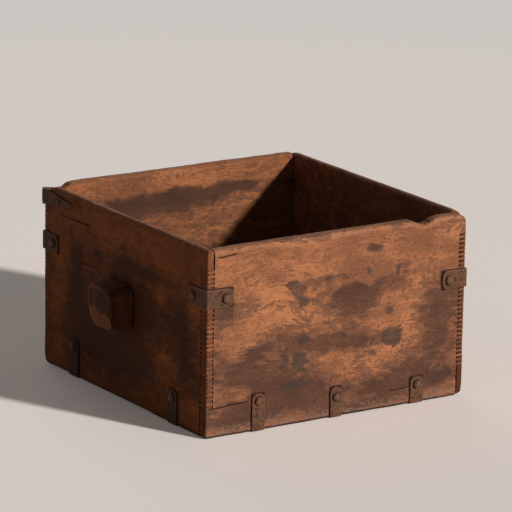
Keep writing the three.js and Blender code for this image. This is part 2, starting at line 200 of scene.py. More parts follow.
def enclosed_volume(points, quads, caps):
    """Six times the signed volume inside closed faces: the sum of the tetrahedra from the middle point."""
    points = points - points.mean(0)
    a, b, c, d = (points[quads[:, k]] for k in range(4))
    total = np.sum(a * np.cross(b, c)) + np.sum(a * np.cross(c, d))
    for cap in caps:
        rim = points[list(cap)]
        total += np.sum(rim[0] * np.cross(rim[1:-1], rim[2:]))
    return total


def add_piece(name, points, quads, caps, material, node, masks, flat=None):
    """Makes one closed piece: quads and caps over points in millimetres, with its masks point by point.

    The faces are turned over where they would look inwards.
    """
    points = np.asarray(points, float).reshape(-1, 3)
    if enclosed_volume(points, quads, caps) < 0:
        quads = quads[:, ::-1]
        caps = [cap[::-1] for cap in caps]
    mesh = bpy.data.meshes.new(name)
    faces = quads.tolist() + caps
    mesh.from_pydata((points * MM).tolist(), [], faces)
    smooth = np.ones(len(faces), bool)
    if flat is not None:
        smooth[:len(quads)] = ~flat
    mesh.polygons.foreach_set("use_smooth", smooth)
    for mask, values in masks.items():
        attribute = mesh.attributes.new(mask, "FLOAT", "POINT")
        attribute.data.foreach_set("value", np.clip(values, 0, 1).astype(np.float32).ravel())
    mesh.materials.append(material)
    mesh.validate()
    mesh.update()
    piece = bpy.data.objects.new(name, mesh)
    bpy.context.scene.collection.objects.link(piece)
    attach(piece, "root")
    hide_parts(node)


def tube_faces(rings, count):
    """Quads between rings of points that close on themselves, ring after ring, and a cap for either end."""
    i, j = np.meshgrid(np.arange(rings - 1), np.arange(count), indexing="ij")
    k = (j + 1) % count
    quads = np.stack([i * count + j, i * count + k, (i + 1) * count + k, (i + 1) * count + j], -1)
    last = (rings - 1) * count
    return quads.reshape(-1, 4), list(range(count))[::-1], list(range(last, last + count))


def pole_fan(first, count, pole):
    """Triangles from a ring, by the number of its first point, to the point at its pole."""
    k = np.arange(count)
    return np.stack([first + k, first + (k + 1) % count, np.full(count, pole)], -1).tolist()


# Boards

# Distances from an edge at which a board has grid lines, close together where the arris curves
EDGE_STEPS = (0, 0.35, 0.9, 1.7, 2.8, 4.2, 6.2, 8.6)
GRID_ALONG = 2.2
GRID_UP = 1.9
LAYERS = 5
BREAK_GRID = 1.1
# Breaks less deep than this need no finer grid
SHALLOW_BREAK = 0.75
# Distances of the first grid lines from the comb's roots and a crack, and the most that a notch is too deep
ROOT_STEP, CRACK_STEP, ROOT_GAP_MOST = 1.5, 0.55, 1.35
# How far off the grid follows a crack, the crack's width and depth, and how strong it is where it is open
CRACK_SWAY, CRACK_WIDTH, CRACK_DEPTH, CRACK_OPEN = 6, 0.9, 1.3, 0.7
# How far dirt reaches from the comb's roots and the straps, how far the painted contact shadow reaches up
# from the foot, how far dust reaches from the foot, and how far below the rim its hollows fade away
ROOT_GRIME, STRAP_GRIME, FOOT_SHADE_REACH, FOOT_DUST, RIM_DIP_REACH = 0.9, 1.3, 2.9, 26, 26

# Marks on each wall, all in millimetres, with u to the right as seen from outside and v up from the foot.
# A crack runs from one point to another; a dent has its middle, its two radii and its depth.
CRACKS = {
    "front": (((-161, 31.6), (-106, 33.6)), ((64, 18.4), (95, 19.2)), ((-151, 191.0), (-121, 192.6))),
    "right": (((-60, 150), (30, 151.5)), ((60, 62), (120, 63))),
    "back": (((-110, 92), (-30, 94.5)), ((40, 28), (130, 29))),
    "left": (((-131, 172.4), (-67, 173.4)), ((-91, 129.6), (-55, 130.2))),
}
DENTS = {
    "front": (
        (140.0, 159.2, 1.4, 1.4, 2.6), (-145.9, 162.6, 1.3, 1.3, 2.2), (131.1, 144.4, 4.5, 4.5, 0.25),
        (-150, 15, 2.0, 1.8, 1.2), (-13, 8, 1.4, 3.0, 0.6), (44, 176, 9, 3.2, 0.5), (-41, 120, 14, 5, 0.35),
        (19, 60, 12, 4, 0.4), (-19, 30, 1.3, 5, 0.7), (98, 90, 20, 7, 0.4), (-91, 150, 24, 6, 0.35),
    ),
    "right": ((-80, 60, 14, 5, 0.4), (70, 120, 18, 6, 0.4), (130, 30, 1.4, 1.4, 2.4), (20, 170, 10, 3, 0.5)),
    "back": ((-60, 60, 16, 5, 0.4), (50, 130, 20, 6, 0.4), (-130, 160, 1.4, 1.4, 2.4), (90, 60, 3, 1.4, 1.2)),
    "left": (
        (-71, 173.5, 8, 2.6, 1.8), (-46.2, 17.6, 1.8, 1.8, 3.4), (99, 172, 7, 4, 0.5), (-3, 151, 18, 5, 0.4),
        (130, 26, 2.6, 1.6, 0.9), (70, 148, 2.0, 2.4, 0.7), (64, 60, 22, 7, 0.5), (-114, 60, 10, 20, 0.3),
    ),
}
# Places where old oil has soaked in and darkened the wood (u, v, radius along, radius up, strength): the
# strength is below nothing where the wood has stayed paler
STAINS = {
    "front": (
        (-139, 133, 18, 13, 0.9), (-96, 87, 15, 7, 0.7), (-118, 65, 38, 17, 0.75), (-47, 27, 48, 12, 0.9),
        (-125, 20, 46, 13, 0.8), (26, 125, 30, 17, 0.9), (-7, 84, 36, 12, 0.6), (-59, 88, 22, 16, 0.4),
        (38, 78, 26, 8, 0.5), (132, 100, 20, 28, 0.75), (127, 64, 28, 17, 0.5), (132, 25, 32, 12, 0.85),
        (63, 27, 44, 11, 0.75), (93, 44, 28, 9, 0.6), (30, 9, 64, 8, 0.7), (-77, 45, 28, 13, 0.6),
        (67, 139, 15, 8, 0.4), (41, 176, 7, 3, 1.0), (-24, 149, 34, 4, 0.35), (-29, 51, 26, 14, 0.4),
        (-150, 100, 8, 30, 0.3), (83, 156, 18, 5, 0.3), (-127, 172, 32, 14, -0.35), (-79, 146, 24, 11, -0.4),
        (-129, 105, 25, 8, -0.45), (-90, 119, 26, 8, -0.4), (-7, 60, 12, 8, -0.6), (68, 102, 19, 12, -0.6),
        (58, 62, 18, 7, -0.4), (-43, 180, 60, 9, -0.35), (89, 168, 50, 13, -0.35), (-17, 163, 32, 6, -0.3),
    ),
    "right": (
        (-70, 60, 60, 30, 0.8), (40, 40, 70, 24, 0.9), (90, 120, 40, 30, 0.7), (-20, 150, 60, 14, 0.4),
        (-110, 130, 30, 24, -0.4), (20, 100, 40, 16, -0.5),
    ),
    "back": (
        (70, 50, 60, 24, 0.9), (-60, 40, 70, 22, 0.8), (-90, 130, 40, 22, 0.7), (60, 140, 40, 14, 0.5),
        (0, 100, 60, 16, -0.4), (100, 110, 30, 20, -0.4),
    ),
    "left": (
        (-97, 96, 16, 42, 0.9), (-55, 60, 60, 30, 0.8), (4, 50, 60, 26, 0.8), (24, 110, 70, 30, 0.7),
        (117, 103, 24, 30, 0.7), (12, 150, 26, 8, 0.7), (49, 150, 22, 6, 0.6), (123, 60, 30, 20, 0.5),
        (-87, 140, 12, 10, 0.8), (-49, 147, 12, 6, 0.6), (36, 178, 90, 12, -0.5), (-140, 72, 8, 60, -0.8),
        (83, 60, 20, 14, -0.6), (148, 150, 12, 30, -0.4), (76, 128, 14, 10, -0.4),
    ),
}
# Formless dark smudges, faded with age
SMUDGES = {
    "front": (
        (-52, 146, 15, 9, 0.6), (-44, 132, 9, 6, 0.5), (36, 150, 9, 8, 0.45), (70, 152, 4, 9, 0.55),
        (-46, 92, 14, 4, 0.5), (-46, 66, 13, 15, 0.6), (-54, 40, 26, 5, 0.6), (64, 108, 12, 8, 0.5),
        (68, 78, 14, 13, 0.6), (42, 66, 10, 6, 0.45), (-66, 68, 5, 9, 0.5),
    ),
}
# Stains on the inside of each wall, with u still to the right as seen from outside
INSIDE_STAINS = {
    "front": ((0, 60, 120, 50, 0.8), (60, 130, 50, 20, 0.5), (-80, 170, 60, 12, -0.4)),
    "right": (
        (-60, 120, 90, 60, -0.2), (60, 150, 50, 30, 0.15), (-3, 192, 3, 5, 1.0), (-25, 180, 18, 60, -0.7),
        (120, 100, 30, 60, 0.1),
    ),
    "back": (
        (60, 160, 46, 12, 1.0), (10, 165, 44, 9, 1.0), (-42, 169, 44, 7, 1.0), (-84, 170, 16, 5, 0.6),
        (0, 70, 140, 60, 0.2), (20, 140, 60, 12, 0.1), (0, 188, 160, 8, -1.0), (36, 156, 16, 6, -0.3),
    ),
    "left": ((-40, 90, 90, 60, 0.8), (60, 150, 60, 24, 0.5), (0, 185, 150, 10, -0.4)),
}
# How much painted shade darkens each wall outside, at its comb's ends and inside, most where the wall lies in
# shade, and how much darker its end grain is
BOARD_PAINTED_SHADE = {"front": 0.0, "right": 0.3, "back": 0.2, "left": 1.0}
END_PAINTED_SHADE = {"front": 1.0, "right": 0.09, "back": 0.06, "left": 0.3}
INSIDE_PAINTED_SHADE = 0.25
END_GRAIN = {"front": 0.12, "right": 0.9, "back": 0.6, "left": 0.35}


def cad_nodes(part):
    """The CAD nodes whose name has this in it, in order."""
    return [node for node in sorted(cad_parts) if part in node]


def side_of(node):
    """The wall that a strap's or nail's name begins with."""
    return node.split("_")[0]


def comb_keeps(heights, at_left):
    """Whether a wall reaches out to its left or right end at these heights above its foot."""
    finger = np.floor((heights - LOW_BLOCK) / FINGER)
    low, top = heights < LOW_BLOCK, heights > WALL_HEIGHT - TOP_BLOCK
    odd = finger % 2 == 1
    return (low | (odd & ~top)) if at_left else (top | (~odd & ~low))


def foot_notches(side):
    """Where the bottom straps are let in under a wall, from and to along it."""
    boxes = [wall_box(side, node) for node in cad_nodes(f"{side}_bottom_strap")]
    return [(low[0] - JOINT_GAP, high[0] + JOINT_GAP) for low, high in boxes]


def grid_lines(side):
    """Grid lines along a wall and up it: fine at its edges, the comb's roots, cracks, notches and breaks."""
    half, root = WALLS[side].half, WALLS[side].root
    clear = root - 2 * ROOT_STEP
    edge = np.array([s for s in EDGE_STEPS if s < half - root - 0.5])
    at, depth = np.array(RIM_BREAKS[side])
    broken = np.clip(at[depth > SHALLOW_BREAK], -clear, clear)
    along = np.concatenate([
        edge - half, half - edge, [-root, root, ROOT_STEP - root, root - ROOT_STEP],
        spread(-clear, clear, GRID_ALONG), spread(broken[0], broken[-1], BREAK_GRID),
        np.ravel(foot_notches(side)),
    ])
    cracks = [(a[1] + b[1]) / 2 + d for a, b in CRACKS[side] for d in (-CRACK_STEP, 0, CRACK_STEP)]
    up = np.concatenate([
        EDGE_STEPS, WALL_HEIGHT - np.array(EDGE_STEPS), spread(EDGE_STEPS[-1], LOW_BLOCK, GRID_UP),
        spread(WALL_HEIGHT - TOP_BLOCK, WALL_HEIGHT - EDGE_STEPS[-1], GRID_UP),
        LOW_BLOCK + FINGER / 2 * np.arange(2 * FINGERS + 1), cracks, [FOOT_ROOM],
    ])
    return np.unique(along.round(4)), np.unique(up.round(4))


def blob_field(u, v, blobs, seed):
    """Sum of soft ellipses, each strength times exp(-distance squared), with their outlines pushed about."""
    du = 7 * value_noise(u, v, 26, seed) + 3 * value_noise(u, v, 9, seed + 1)
    dv = 4 * value_noise(u, v, 21, seed + 2) + 2 * value_noise(u, v, 7, seed + 3)
    field = np.zeros(u.shape)
    for at, up, along, tall, strength in blobs:
        field += strength * np.exp(-(((u + du - at) / along) ** 2 + ((v + dv - up) / tall) ** 2))
    return field


def strap_grime(side, u, v):
    """Dirt that has gathered against the straps: it fades within a few millimetres of each one's edge."""
    grime_and_shade = np.zeros(u.shape)
    for node in cad_nodes("_strap"):
        low, high = wall_box(side, node)
        if low[1] < -JOINT_GAP:
            beside_u, beside_v = (highest(low[k] - x, x - high[k], 0) for k, x in ((0, u), (2, v)))
            grime_and_shade = np.maximum(grime_and_shade, fade(np.hypot(beside_u, beside_v), STRAP_GRIME))
    return grime_and_shade


def board_shape(side, wear):
    """A worn board over a grid of its length and height, with its comb cut away cell by cell.

    The outer face is the grid, sunk by hollows, dents and cracks and rounded off towards the outline, and the
    inner face is the same grid at the board's thickness. Strips of quads join them along every cut and edge.
    """
    wall, half, root = WALLS[side], WALLS[side].half, WALLS[side].root
    seed = 100 * wall.turn
    along, up = grid_lines(side)
    mid_u, mid_v = (along[1:] + along[:-1]) / 2, (up[1:] + up[:-1]) / 2
    keeps = {-1: comb_keeps(mid_v, True), 1: comb_keeps(mid_v, False)}
    cells = np.ones((len(mid_u), len(mid_v)), bool)
    cells[mid_u < -root] = keeps[-1]
    cells[mid_u > root] = keeps[1]
    for start, end in foot_notches(side):
        cells[np.ix_((mid_u > start) & (mid_u < end), mid_v < FOOT_ROOM)] = False
    flat_u, flat_v = np.meshgrid(along, up, indexing="ij")
    u, v = flat_u.copy(), flat_v.copy()
    from_rim, from_foot, from_end = WALL_HEIGHT - flat_v, flat_v, half - np.abs(flat_u)
    at_end = from_end < HAIR

    def noise(number, cell, a=flat_u, b=0):
        """This wall's noise of that number."""
        return value_noise(a, b, cell, seed + number)

    # Cracks wander, and the grid follows them
    crack = np.zeros(u.shape)
    for number, ((u0, v0), (u1, v1)) in enumerate(CRACKS[side]):
        from_crack = flat_v - (v0 + v1) / 2
        share = np.clip((flat_u - u0) / (u1 - u0), -0.2, 1.2)
        path = (share - 0.5) * (v1 - v0) + 0.5 * noise(40, 7, b=number)
        drawn = ease(flat_u, u0 - 2, u0 + 6) * ease(-flat_u, -u1 - 2, -u1 + 9)
        v += path * drawn * bell(from_crack, CRACK_SWAY)
        crack = np.maximum(crack, drawn * bell(from_crack, CRACK_WIDTH))

    # Each finger stands clear of its neighbours and ends at its own length; its notch is a little too deep
    beside_root = np.zeros(u.shape)
    for end, kept in keeps.items():
        padded = np.concatenate([kept[:1], kept, kept[-1:]])
        starts_or_ends, beside_notch = np.diff(padded.astype(int)), ~(padded[1:] & padded[:-1])
        gap = wear.joint_wear * (0.5 + 0.5 * noise(5, 2.4, up, end))
        v += np.where(flat_u * end >= root - HAIR, starts_or_ends * gap, 0)
        deep = wear.root_gap * (1 + 0.35 * noise(6, 3.1, up, end))
        opened = ease(up, WALL_HEIGHT - TOP_BLOCK, WALL_HEIGHT - TOP_BLOCK + 3) * (end < 0)
        deep = np.minimum(deep + opened * (0.35 + 0.3 * noise(32, 8, up, end)), ROOT_GAP_MOST)
        from_root = np.abs(flat_u * end - root)
        u -= end * np.where(from_root < HAIR, beside_notch * deep, 0)
        beside_root = np.maximum(beside_root, beside_notch * fade(from_root, ROOT_GRIME))
        u -= end * np.where(at_end, 0.06 + 0.05 * noise(7, 2.3, up, end), 0)

    # Worn outline corners: the square corner of the grid becomes a quarter ellipse
    for end, (a, b), origin, upright in ((1, WORN_TOP[side], WALL_HEIGHT, 1), (-1, WORN_LOW[side], 0, -1)):
        s = np.clip((u * end - (half - a)) / a, 0, 1)
        t = np.clip(((v - origin) * upright + b) / b, 0, 1)
        inside = (s > 0) & (t > 0)
        u = np.where(inside, end * (half - a + a * s * np.sqrt(1 - t * t / 2)), u)
        v = np.where(inside, origin + upright * (b * t * np.sqrt(1 - s * s / 2) - b), v)

    # The rim is nicked and hollowed by use, and in places wood has broken out of it
    dip = wear.rim_dip * np.clip(0.5 + 0.7 * noise(8, 31), 0, 1.2)
    dip = dip + 0.14 * (1 + noise(9, 6)) + 0.1 * (1 + noise(10, 2.6))
    chip = np.interp(flat_u, *RIM_BREAKS[side], left=0, right=0)
    broken = ease(chip, 0.5, 2.5)
    dip = np.where(chip > dip, chip + 0.25 * broken * (1 + noise(11, 1.7, b=3)), dip)
    v -= dip * ease(flat_v, WALL_HEIGHT - RIM_DIP_REACH, WALL_HEIGHT)
    v += 0.15 * (1 + noise(12, 17, b=5)) * ease(-flat_v, -12, 0)

    # Rounded arrises, softer where hands and sacks have rubbed
    rub = 1 + 0.35 * noise(13, 23, b=flat_v)
    rim_round = wear.rim_round * np.clip(rub, 0.8, 1.05) * (1 - 0.75 * broken)
    end_round = wear.end_round * (1 + 0.5 * noise(14, 19, flat_v))
    outer_rim = round_off(from_rim, OUTER_ROUND[side] * rim_round)
    inner_rim = round_off(from_rim, INNER_ROUND[side] * rim_round)
    foot_off = round_off(from_foot, wear.foot_round * rub)
    outer_off = highest(outer_rim, foot_off, round_off(from_end, end_round))

    # Hollows, plane marks, dents and cracks in the faces
    sunk = 0.28 * noise(15, 46, b=flat_v * 1.6) + 0.12 * noise(16, 15, b=flat_v * 4)
    sunk = sunk + 0.05 * noise(17, 2.1, flat_u / 5, flat_v)
    for at, height, radius_u, radius_v, deep in DENTS[side]:
        away = ((u - at) / radius_u) ** 2 + ((v - height) / radius_v) ** 2
        sunk = sunk + deep * np.exp(-away ** 1.5)
    sunk = sunk + CRACK_DEPTH * np.where(crack > CRACK_OPEN, crack, 0)
    inner_sunk = 0.3 * noise(18, 52, b=flat_v * 1.6) + 0.12 * noise(19, 14, b=flat_v * 4)
    calm = ease(from_rim, 0, 3) * ease(from_foot, 0, 3) * ease(from_end, 0, 3)
    outer = outer_off + sunk * np.maximum(calm, 0.35)
    inner = wall.thick - np.maximum(inner_rim, 0.5 * foot_off) - inner_sunk * calm

    # Layers through the thickness, needed only along the edges, with rough wood between the rim's two arrises
    share = np.linspace(0, 1, LAYERS)[:, None, None]
    depth = outer * (1 - share) + inner * share
    between = (share > 0) & (share < 1) & (from_rim < HAIR)
    rough = noise(20, 2.6, flat_u[None], depth * 1.3) * (0.22 + 0.9 * broken)
    points = place(side, u, depth, v - between * (0.2 + rough))

    outside = share < 0.5
    worn = RIM_PALE[side] * fade(from_rim, wear.rub_reach)
    # Dirt in the joints, against the straps and in the cracks, with a painted contact shadow along the foot
    grime_and_shade = highest(0.8 * beside_root, strap_grime(side, u, v), 1.3 * bell(from_foot, FOOT_SHADE_REACH), crack)
    outer_stain = blob_field(u, v, STAINS[side], seed + 21)
    inner_stain = blob_field(u, v, INSIDE_STAINS[side], seed + 25)
    masks = {
        "stain": 0.5 + 0.4 * np.where(outside, outer_stain, inner_stain),
        "smudge": blob_field(u, v, SMUDGES.get(side, ()), seed + 31) * outside,
        "worn": highest(worn, 0.2 * fade(from_foot, 5), 0.45 * fade(from_end, 3)),
        "grime_and_shade": np.maximum(grime_and_shade * outside, 0.3 * at_end),
        "dusty": bell(from_foot, FOOT_DUST) * outside,
        "end_grain": END_GRAIN[side] * at_end,
        "broken": broken * ease(from_rim, 9, 2),
        # painted shade: each wall darkened by its side's amount outside, at its comb's ends and over its
        # whole inside
        "soot": np.where(at_end, END_PAINTED_SHADE[side], BOARD_PAINTED_SHADE[side] * (1 - share) + INSIDE_PAINTED_SHADE * share),
    }
    faces, flat = grid_faces(cells, depth.shape)
    used, quads = np.unique(faces, return_inverse=True)
    masks = {name: np.broadcast_to(mask, depth.shape).ravel()[used] for name, mask in masks.items()}
    return points.reshape(-1, 3)[used], quads.reshape(-1, 4), flat, masks


def grid_faces(cells, shape):
    """Faces of a slab over the kept cells: outer face, inner face, and strips along every edge and cut."""
    layers, rows, columns = shape
    number = np.arange(layers * rows * columns).reshape(shape)
    i, j = np.nonzero(cells)
    corners = [(i, j), (i + 1, j), (i + 1, j + 1), (i, j + 1)]
    outer = np.stack([number[0][c] for c in corners], -1)
    inner = np.stack([number[-1][c] for c in corners], -1)[:, ::-1]
    faces, flat = [outer, inner], [np.zeros(2 * len(outer), bool)]
    padded = np.pad(cells, 1)
    for k, (di, dj) in enumerate(((0, -1), (1, 0), (0, 1), (-1, 0))):
        bare = ~padded[i + 1 + di, j + 1 + dj]
        a, b = (tuple(x[bare] for x in corners[c % 4]) for c in (k, k + 1))
        next_i, next_j = i[bare] + di, j[bare] + dj
        inner_cut = (next_i >= 0) & (next_i < rows - 1) & (next_j >= 0) & (next_j < columns - 1)
        for near, deep in zip(number, number[1:]):
            faces.append(np.stack([near[b], near[a], deep[a], deep[b]], -1))
            flat.append(inner_cut)
    return np.concatenate(faces), np.concatenate(flat)


# Ironwork

Path = namedtuple("Path", "a b out_a out_b from_a from_b")
# Points across the flat of the iron, and the radius of its arrises
STRAP_ACROSS = 11
STRAP_ARRIS = 0.65
ARC_ANGLES = np.radians((60, 30, 0))
BEND_STEPS = 6
# Distances of the first rings from an end, and the spacing of the others
END_STEPS = (0, 0.2, 0.5, 0.9, 1.5, 2.3, 3.3, 4.6, 6.2)
STRAP_STEP = 1.8
# Radius of a bend, in the middle of the iron
STRAP_BEND = 1.3
PATCH_BEND = 1.0


def bent_path(leg_a, leg_b, middle, bend):
    """Middle line of a strip bent round a corner whose wood fills a > 0 and b > 0.

    It runs in along the a axis, round a quarter circle, and out along the b axis, this far from the wood.
    """
    start = bend - middle

    def leg(full):
        """Distances from the end of a leg of this length, up to where the bend starts."""
        straight = full - start
        ends = np.array([step for step in END_STEPS if step < straight - STRAP_STEP])
        return np.concatenate([ends[:-1], spread(ends[-1], straight, STRAP_STEP)])

    down, back = leg(leg_a), leg(leg_b)[::-1]
    none_down, none_back = 0 * down, 0 * back
    turn = np.linspace(0, np.pi / 2, BEND_STEPS + 1)[1:-1]
    a = np.concatenate([leg_a - down, start - bend * np.sin(turn), none_back - middle])
    b = np.concatenate([none_down - middle, start - bend * np.cos(turn), leg_b - back])
    out_a = np.concatenate([none_down, -np.sin(turn), none_back - 1])
    out_b = np.concatenate([none_down - 1, -np.cos(turn), none_back])
    along = np.concatenate([[0], np.cumsum(np.hypot(np.diff(a), np.diff(b)))])
    return Path(a, b, out_a, out_b, along, along[-1] - along)


def build_strip(node, path, half, centre, thick, to_frame, material, hammer, seed):
    """A flat bar carried along a path: at each place a rounded rectangle of this half width and thickness.

    half and centre give the bar's half width and the middle of its width at each place. The outer face has
    shallow hammer marks. to_frame turns the path's a and b and the place across the bar into points.
    """
    arris = min(STRAP_ARRIS, 0.42 * thick)
    flat = np.linspace(-1, 1, STRAP_ACROSS)
    corner_n = (thick / 2 - arris) + arris * np.sin(ARC_ANGLES)
    corner_e = arris * np.cos(ARC_ANGLES)
    narrow = np.ones(2 * len(ARC_ANGLES))
    share = np.concatenate([flat, narrow, -flat, -narrow])
    extra = np.concatenate([0 * flat, corner_e, corner_e[::-1], 0 * flat, -corner_e, -corner_e[::-1]])
    upper = np.concatenate([0 * flat + thick / 2, corner_n, -corner_n[::-1]])
    level = np.concatenate([upper, -upper])
    end = np.minimum(path.from_a, path.from_b)
    thin = 1 - round_off(end, arris) / (thick / 2)
    at = path.from_a[:, None]
    wide = np.maximum(half + 0.3 * value_noise(path.from_a, 0, 8, seed) - arris, 0.05)
    c = wide[:, None] * share + extra + centre[:, None]
    marks = value_noise(at, c, 6.5, seed + 1) + 0.5 * value_noise(at, c, 2.6, seed + 2)
    n = level * thin[:, None] - np.where(level > 0.3 * thick, hammer * np.maximum(0.6 + 0.5 * marks, 0), 0)
    a, b = path.a[:, None] + path.out_a[:, None] * n, path.b[:, None] + path.out_b[:, None] * n
    # The edge mask: arrises and ends paler, partly rubbed metal and partly a painted highlight
    edge = np.maximum(np.abs(share) > 0.99, fade(end, 0.7)[:, None])
    quads, *caps = tube_faces(*c.shape)
    add_piece(f"{node}_iron", to_frame(a, b, c), quads, caps, material, node, {"edge": edge})


def build_corner_strap(node, side, corner_round, *look):
    """A strap round the corner at a wall's left end, on to the wall before it, with rounded ends."""
    low, high = wall_box(side, node)
    half_wall, middle = WALLS[side].half, (low[2] + high[2]) / 2
    path = bent_path(high[0] + half_wall, high[1], STRAP_MIDDLE, STRAP_BEND)
    half = (high[2] - low[2]) / 2 - round_off(np.minimum(path.from_a, path.from_b), corner_round)

    def to_frame(a, b, c):
        return place(side, a - half_wall, b, middle + c)

    build_strip(node, path, half, 0 * half, STRAP_THICK, to_frame, *look)


def build_bottom_strap(node, side, top_round, *look):
    """A strap down a wall and under the floor: rounded at its top, square at the end of its foot."""
    low, high = wall_box(side, node)
    middle = (low[0] + high[0]) / 2
    path = bent_path(high[2] - FOOT_ROOM, high[1], STRAP_MIDDLE, STRAP_BEND)
    half = (high[0] - low[0]) / 2 - round_off(path.from_a, top_round)

    def to_frame(a, b, c):
        return place(side, middle - c, b, a + FOOT_ROOM)

    build_strip(node, path, half, 0 * half, STRAP_THICK, to_frame, *look)


# The patch's thickness, the height of its blunt tips, and how far they lie below its upper edge at the corner
PATCH_THICK = 1.5
PATCH_TIP = 2.2
PATCH_TIP_DROP = 6.4


def build_corner_patch(node, side, *look):
    """Sheet iron round the back left corner: its edges close straight from full height to a blunt tip."""
    low, high = wall_box(side, node)
    half_wall = WALLS[side].half
    middle = -low[1] - PATCH_THICK / 2
    path = bent_path(high[0] + half_wall, high[1], middle, PATCH_BEND)
    leg = np.where(path.out_b < -0.5, high[0] + half_wall, high[1])
    rest = 1 - np.clip(np.minimum(path.from_a, path.from_b) / leg, 0, 1)
    top = high[2] - PATCH_TIP_DROP * rest
    foot = low[2] + (high[2] - low[2] - PATCH_TIP_DROP - PATCH_TIP) * rest

    def to_frame(a, b, c):
        return place(side, a - half_wall, b, c)

    build_strip(node, path, (top - foot) / 2, (top + foot) / 2, PATCH_THICK, to_frame, *look)


# Points round a nail
NAIL_COUNT = 30
# How uneven a nail's head is for each 3 mm of its height
NAIL_UNEVEN = 0.22
# From the top of its dome to its rim
DOME_ANGLES = np.radians((8, 18, 28, 38, 48, 57, 65, 72, 79, 85, 90))


def build_nail(node, side, head_height, shank_radius, material, inwards, seed):
    """A forged nail: an uneven low dome, its flat underside, and a straight shank into the wood.

    Its profile is carried round the nail's axis from pole to pole, and the head is made a little oval.
    """
    low, high = wall_box(side, node)
    centre = (low + high) / 2
    way, crown, tip = (-1, high[1], low[1]) if inwards else (1, low[1], high[1])
    head_radius, length = (high[2] - low[2]) / 2, abs(tip - crown) - head_height
    dome_r = head_radius * np.sin(DOME_ANGLES) ** 0.9
    dome_z = head_height * np.cos(DOME_ANGLES) ** 0.75
    radius = np.concatenate([dome_r, [head_radius * 0.97, shank_radius, shank_radius, shank_radius * 0.5]])
    height = np.concatenate([dome_z, [-0.15, -0.2, -length + 1, -length]])[:, None]
    angle = np.linspace(0, 2 * np.pi, NAIL_COUNT, endpoint=False)
    x, y = radius[:, None] * np.cos(angle), radius[:, None] * np.sin(angle)
    uneven = value_noise(x + 40 * seed, y, 3.4, seed) + 0.5 * value_noise(x, y + 9, 1.5, seed + 1)
    z = height + NAIL_UNEVEN * head_height / 3 * np.minimum(uneven - 0.6, 0) * (height > 0)
    oval = np.where(z >= 0, 1 + 0.05 * np.cos(2 * angle + seed) + 0.03 * np.cos(3 * angle + 2 * seed), 1)
    rings = np.stack([x * oval, y * oval, z], -1)
    x, y, z = np.concatenate([rings.reshape(-1, 3), rings[:1].mean(1), rings[-1:].mean(1)]).T
    total = x.size - 2
    fans = [face[::-1] for face in pole_fan(0, NAIL_COUNT, total)]
    fans += pole_fan(total - NAIL_COUNT, NAIL_COUNT, total + 1)
    placed = place(side, centre[0] + way * x, crown + way * (head_height - z), centre[2] + y)
    rim = fade(np.abs(np.hypot(x, y) - head_radius), 0.8) * (z > -0.5)
    # The edge mask: the dome's top paler, partly rubbed metal and partly a painted highlight
    masks = {"edge": ease(np.clip(z / head_height, 0, 1), 0.55, 0.95), "foot": rim}
    quads = tube_faces(len(radius), NAIL_COUNT)[0]
    add_piece(f"{node}_head", placed, quads, fans, material, node, masks)


# Grip blocks

# Points round a block, the p of its section's norm, and the radius of the arris round its end
HANDLE_COUNT = 144
HANDLE_NORM = 60
HANDLE_END_ROUND = 1.1
# How much its sides and its top draw in towards its end, and how far a chamfer reaches across and down
HANDLE_TAPER = (2.0, 2.5)
HANDLE_CHAMFER = (9.0, 7.0)
SIDE_RINGS, ARC_RINGS, FACE_RINGS = 15, 6, 16
# The broken ends of the blocks: middle of the break (across, up), depth, tilt sideways and down, roughness
SCARS = {
    "left": ((0, -16), 2.75, (-0.04, 0.17), 0.5),
    "right": ((12, 10), 2.0, (0.4, -0.2), 0.4),
}


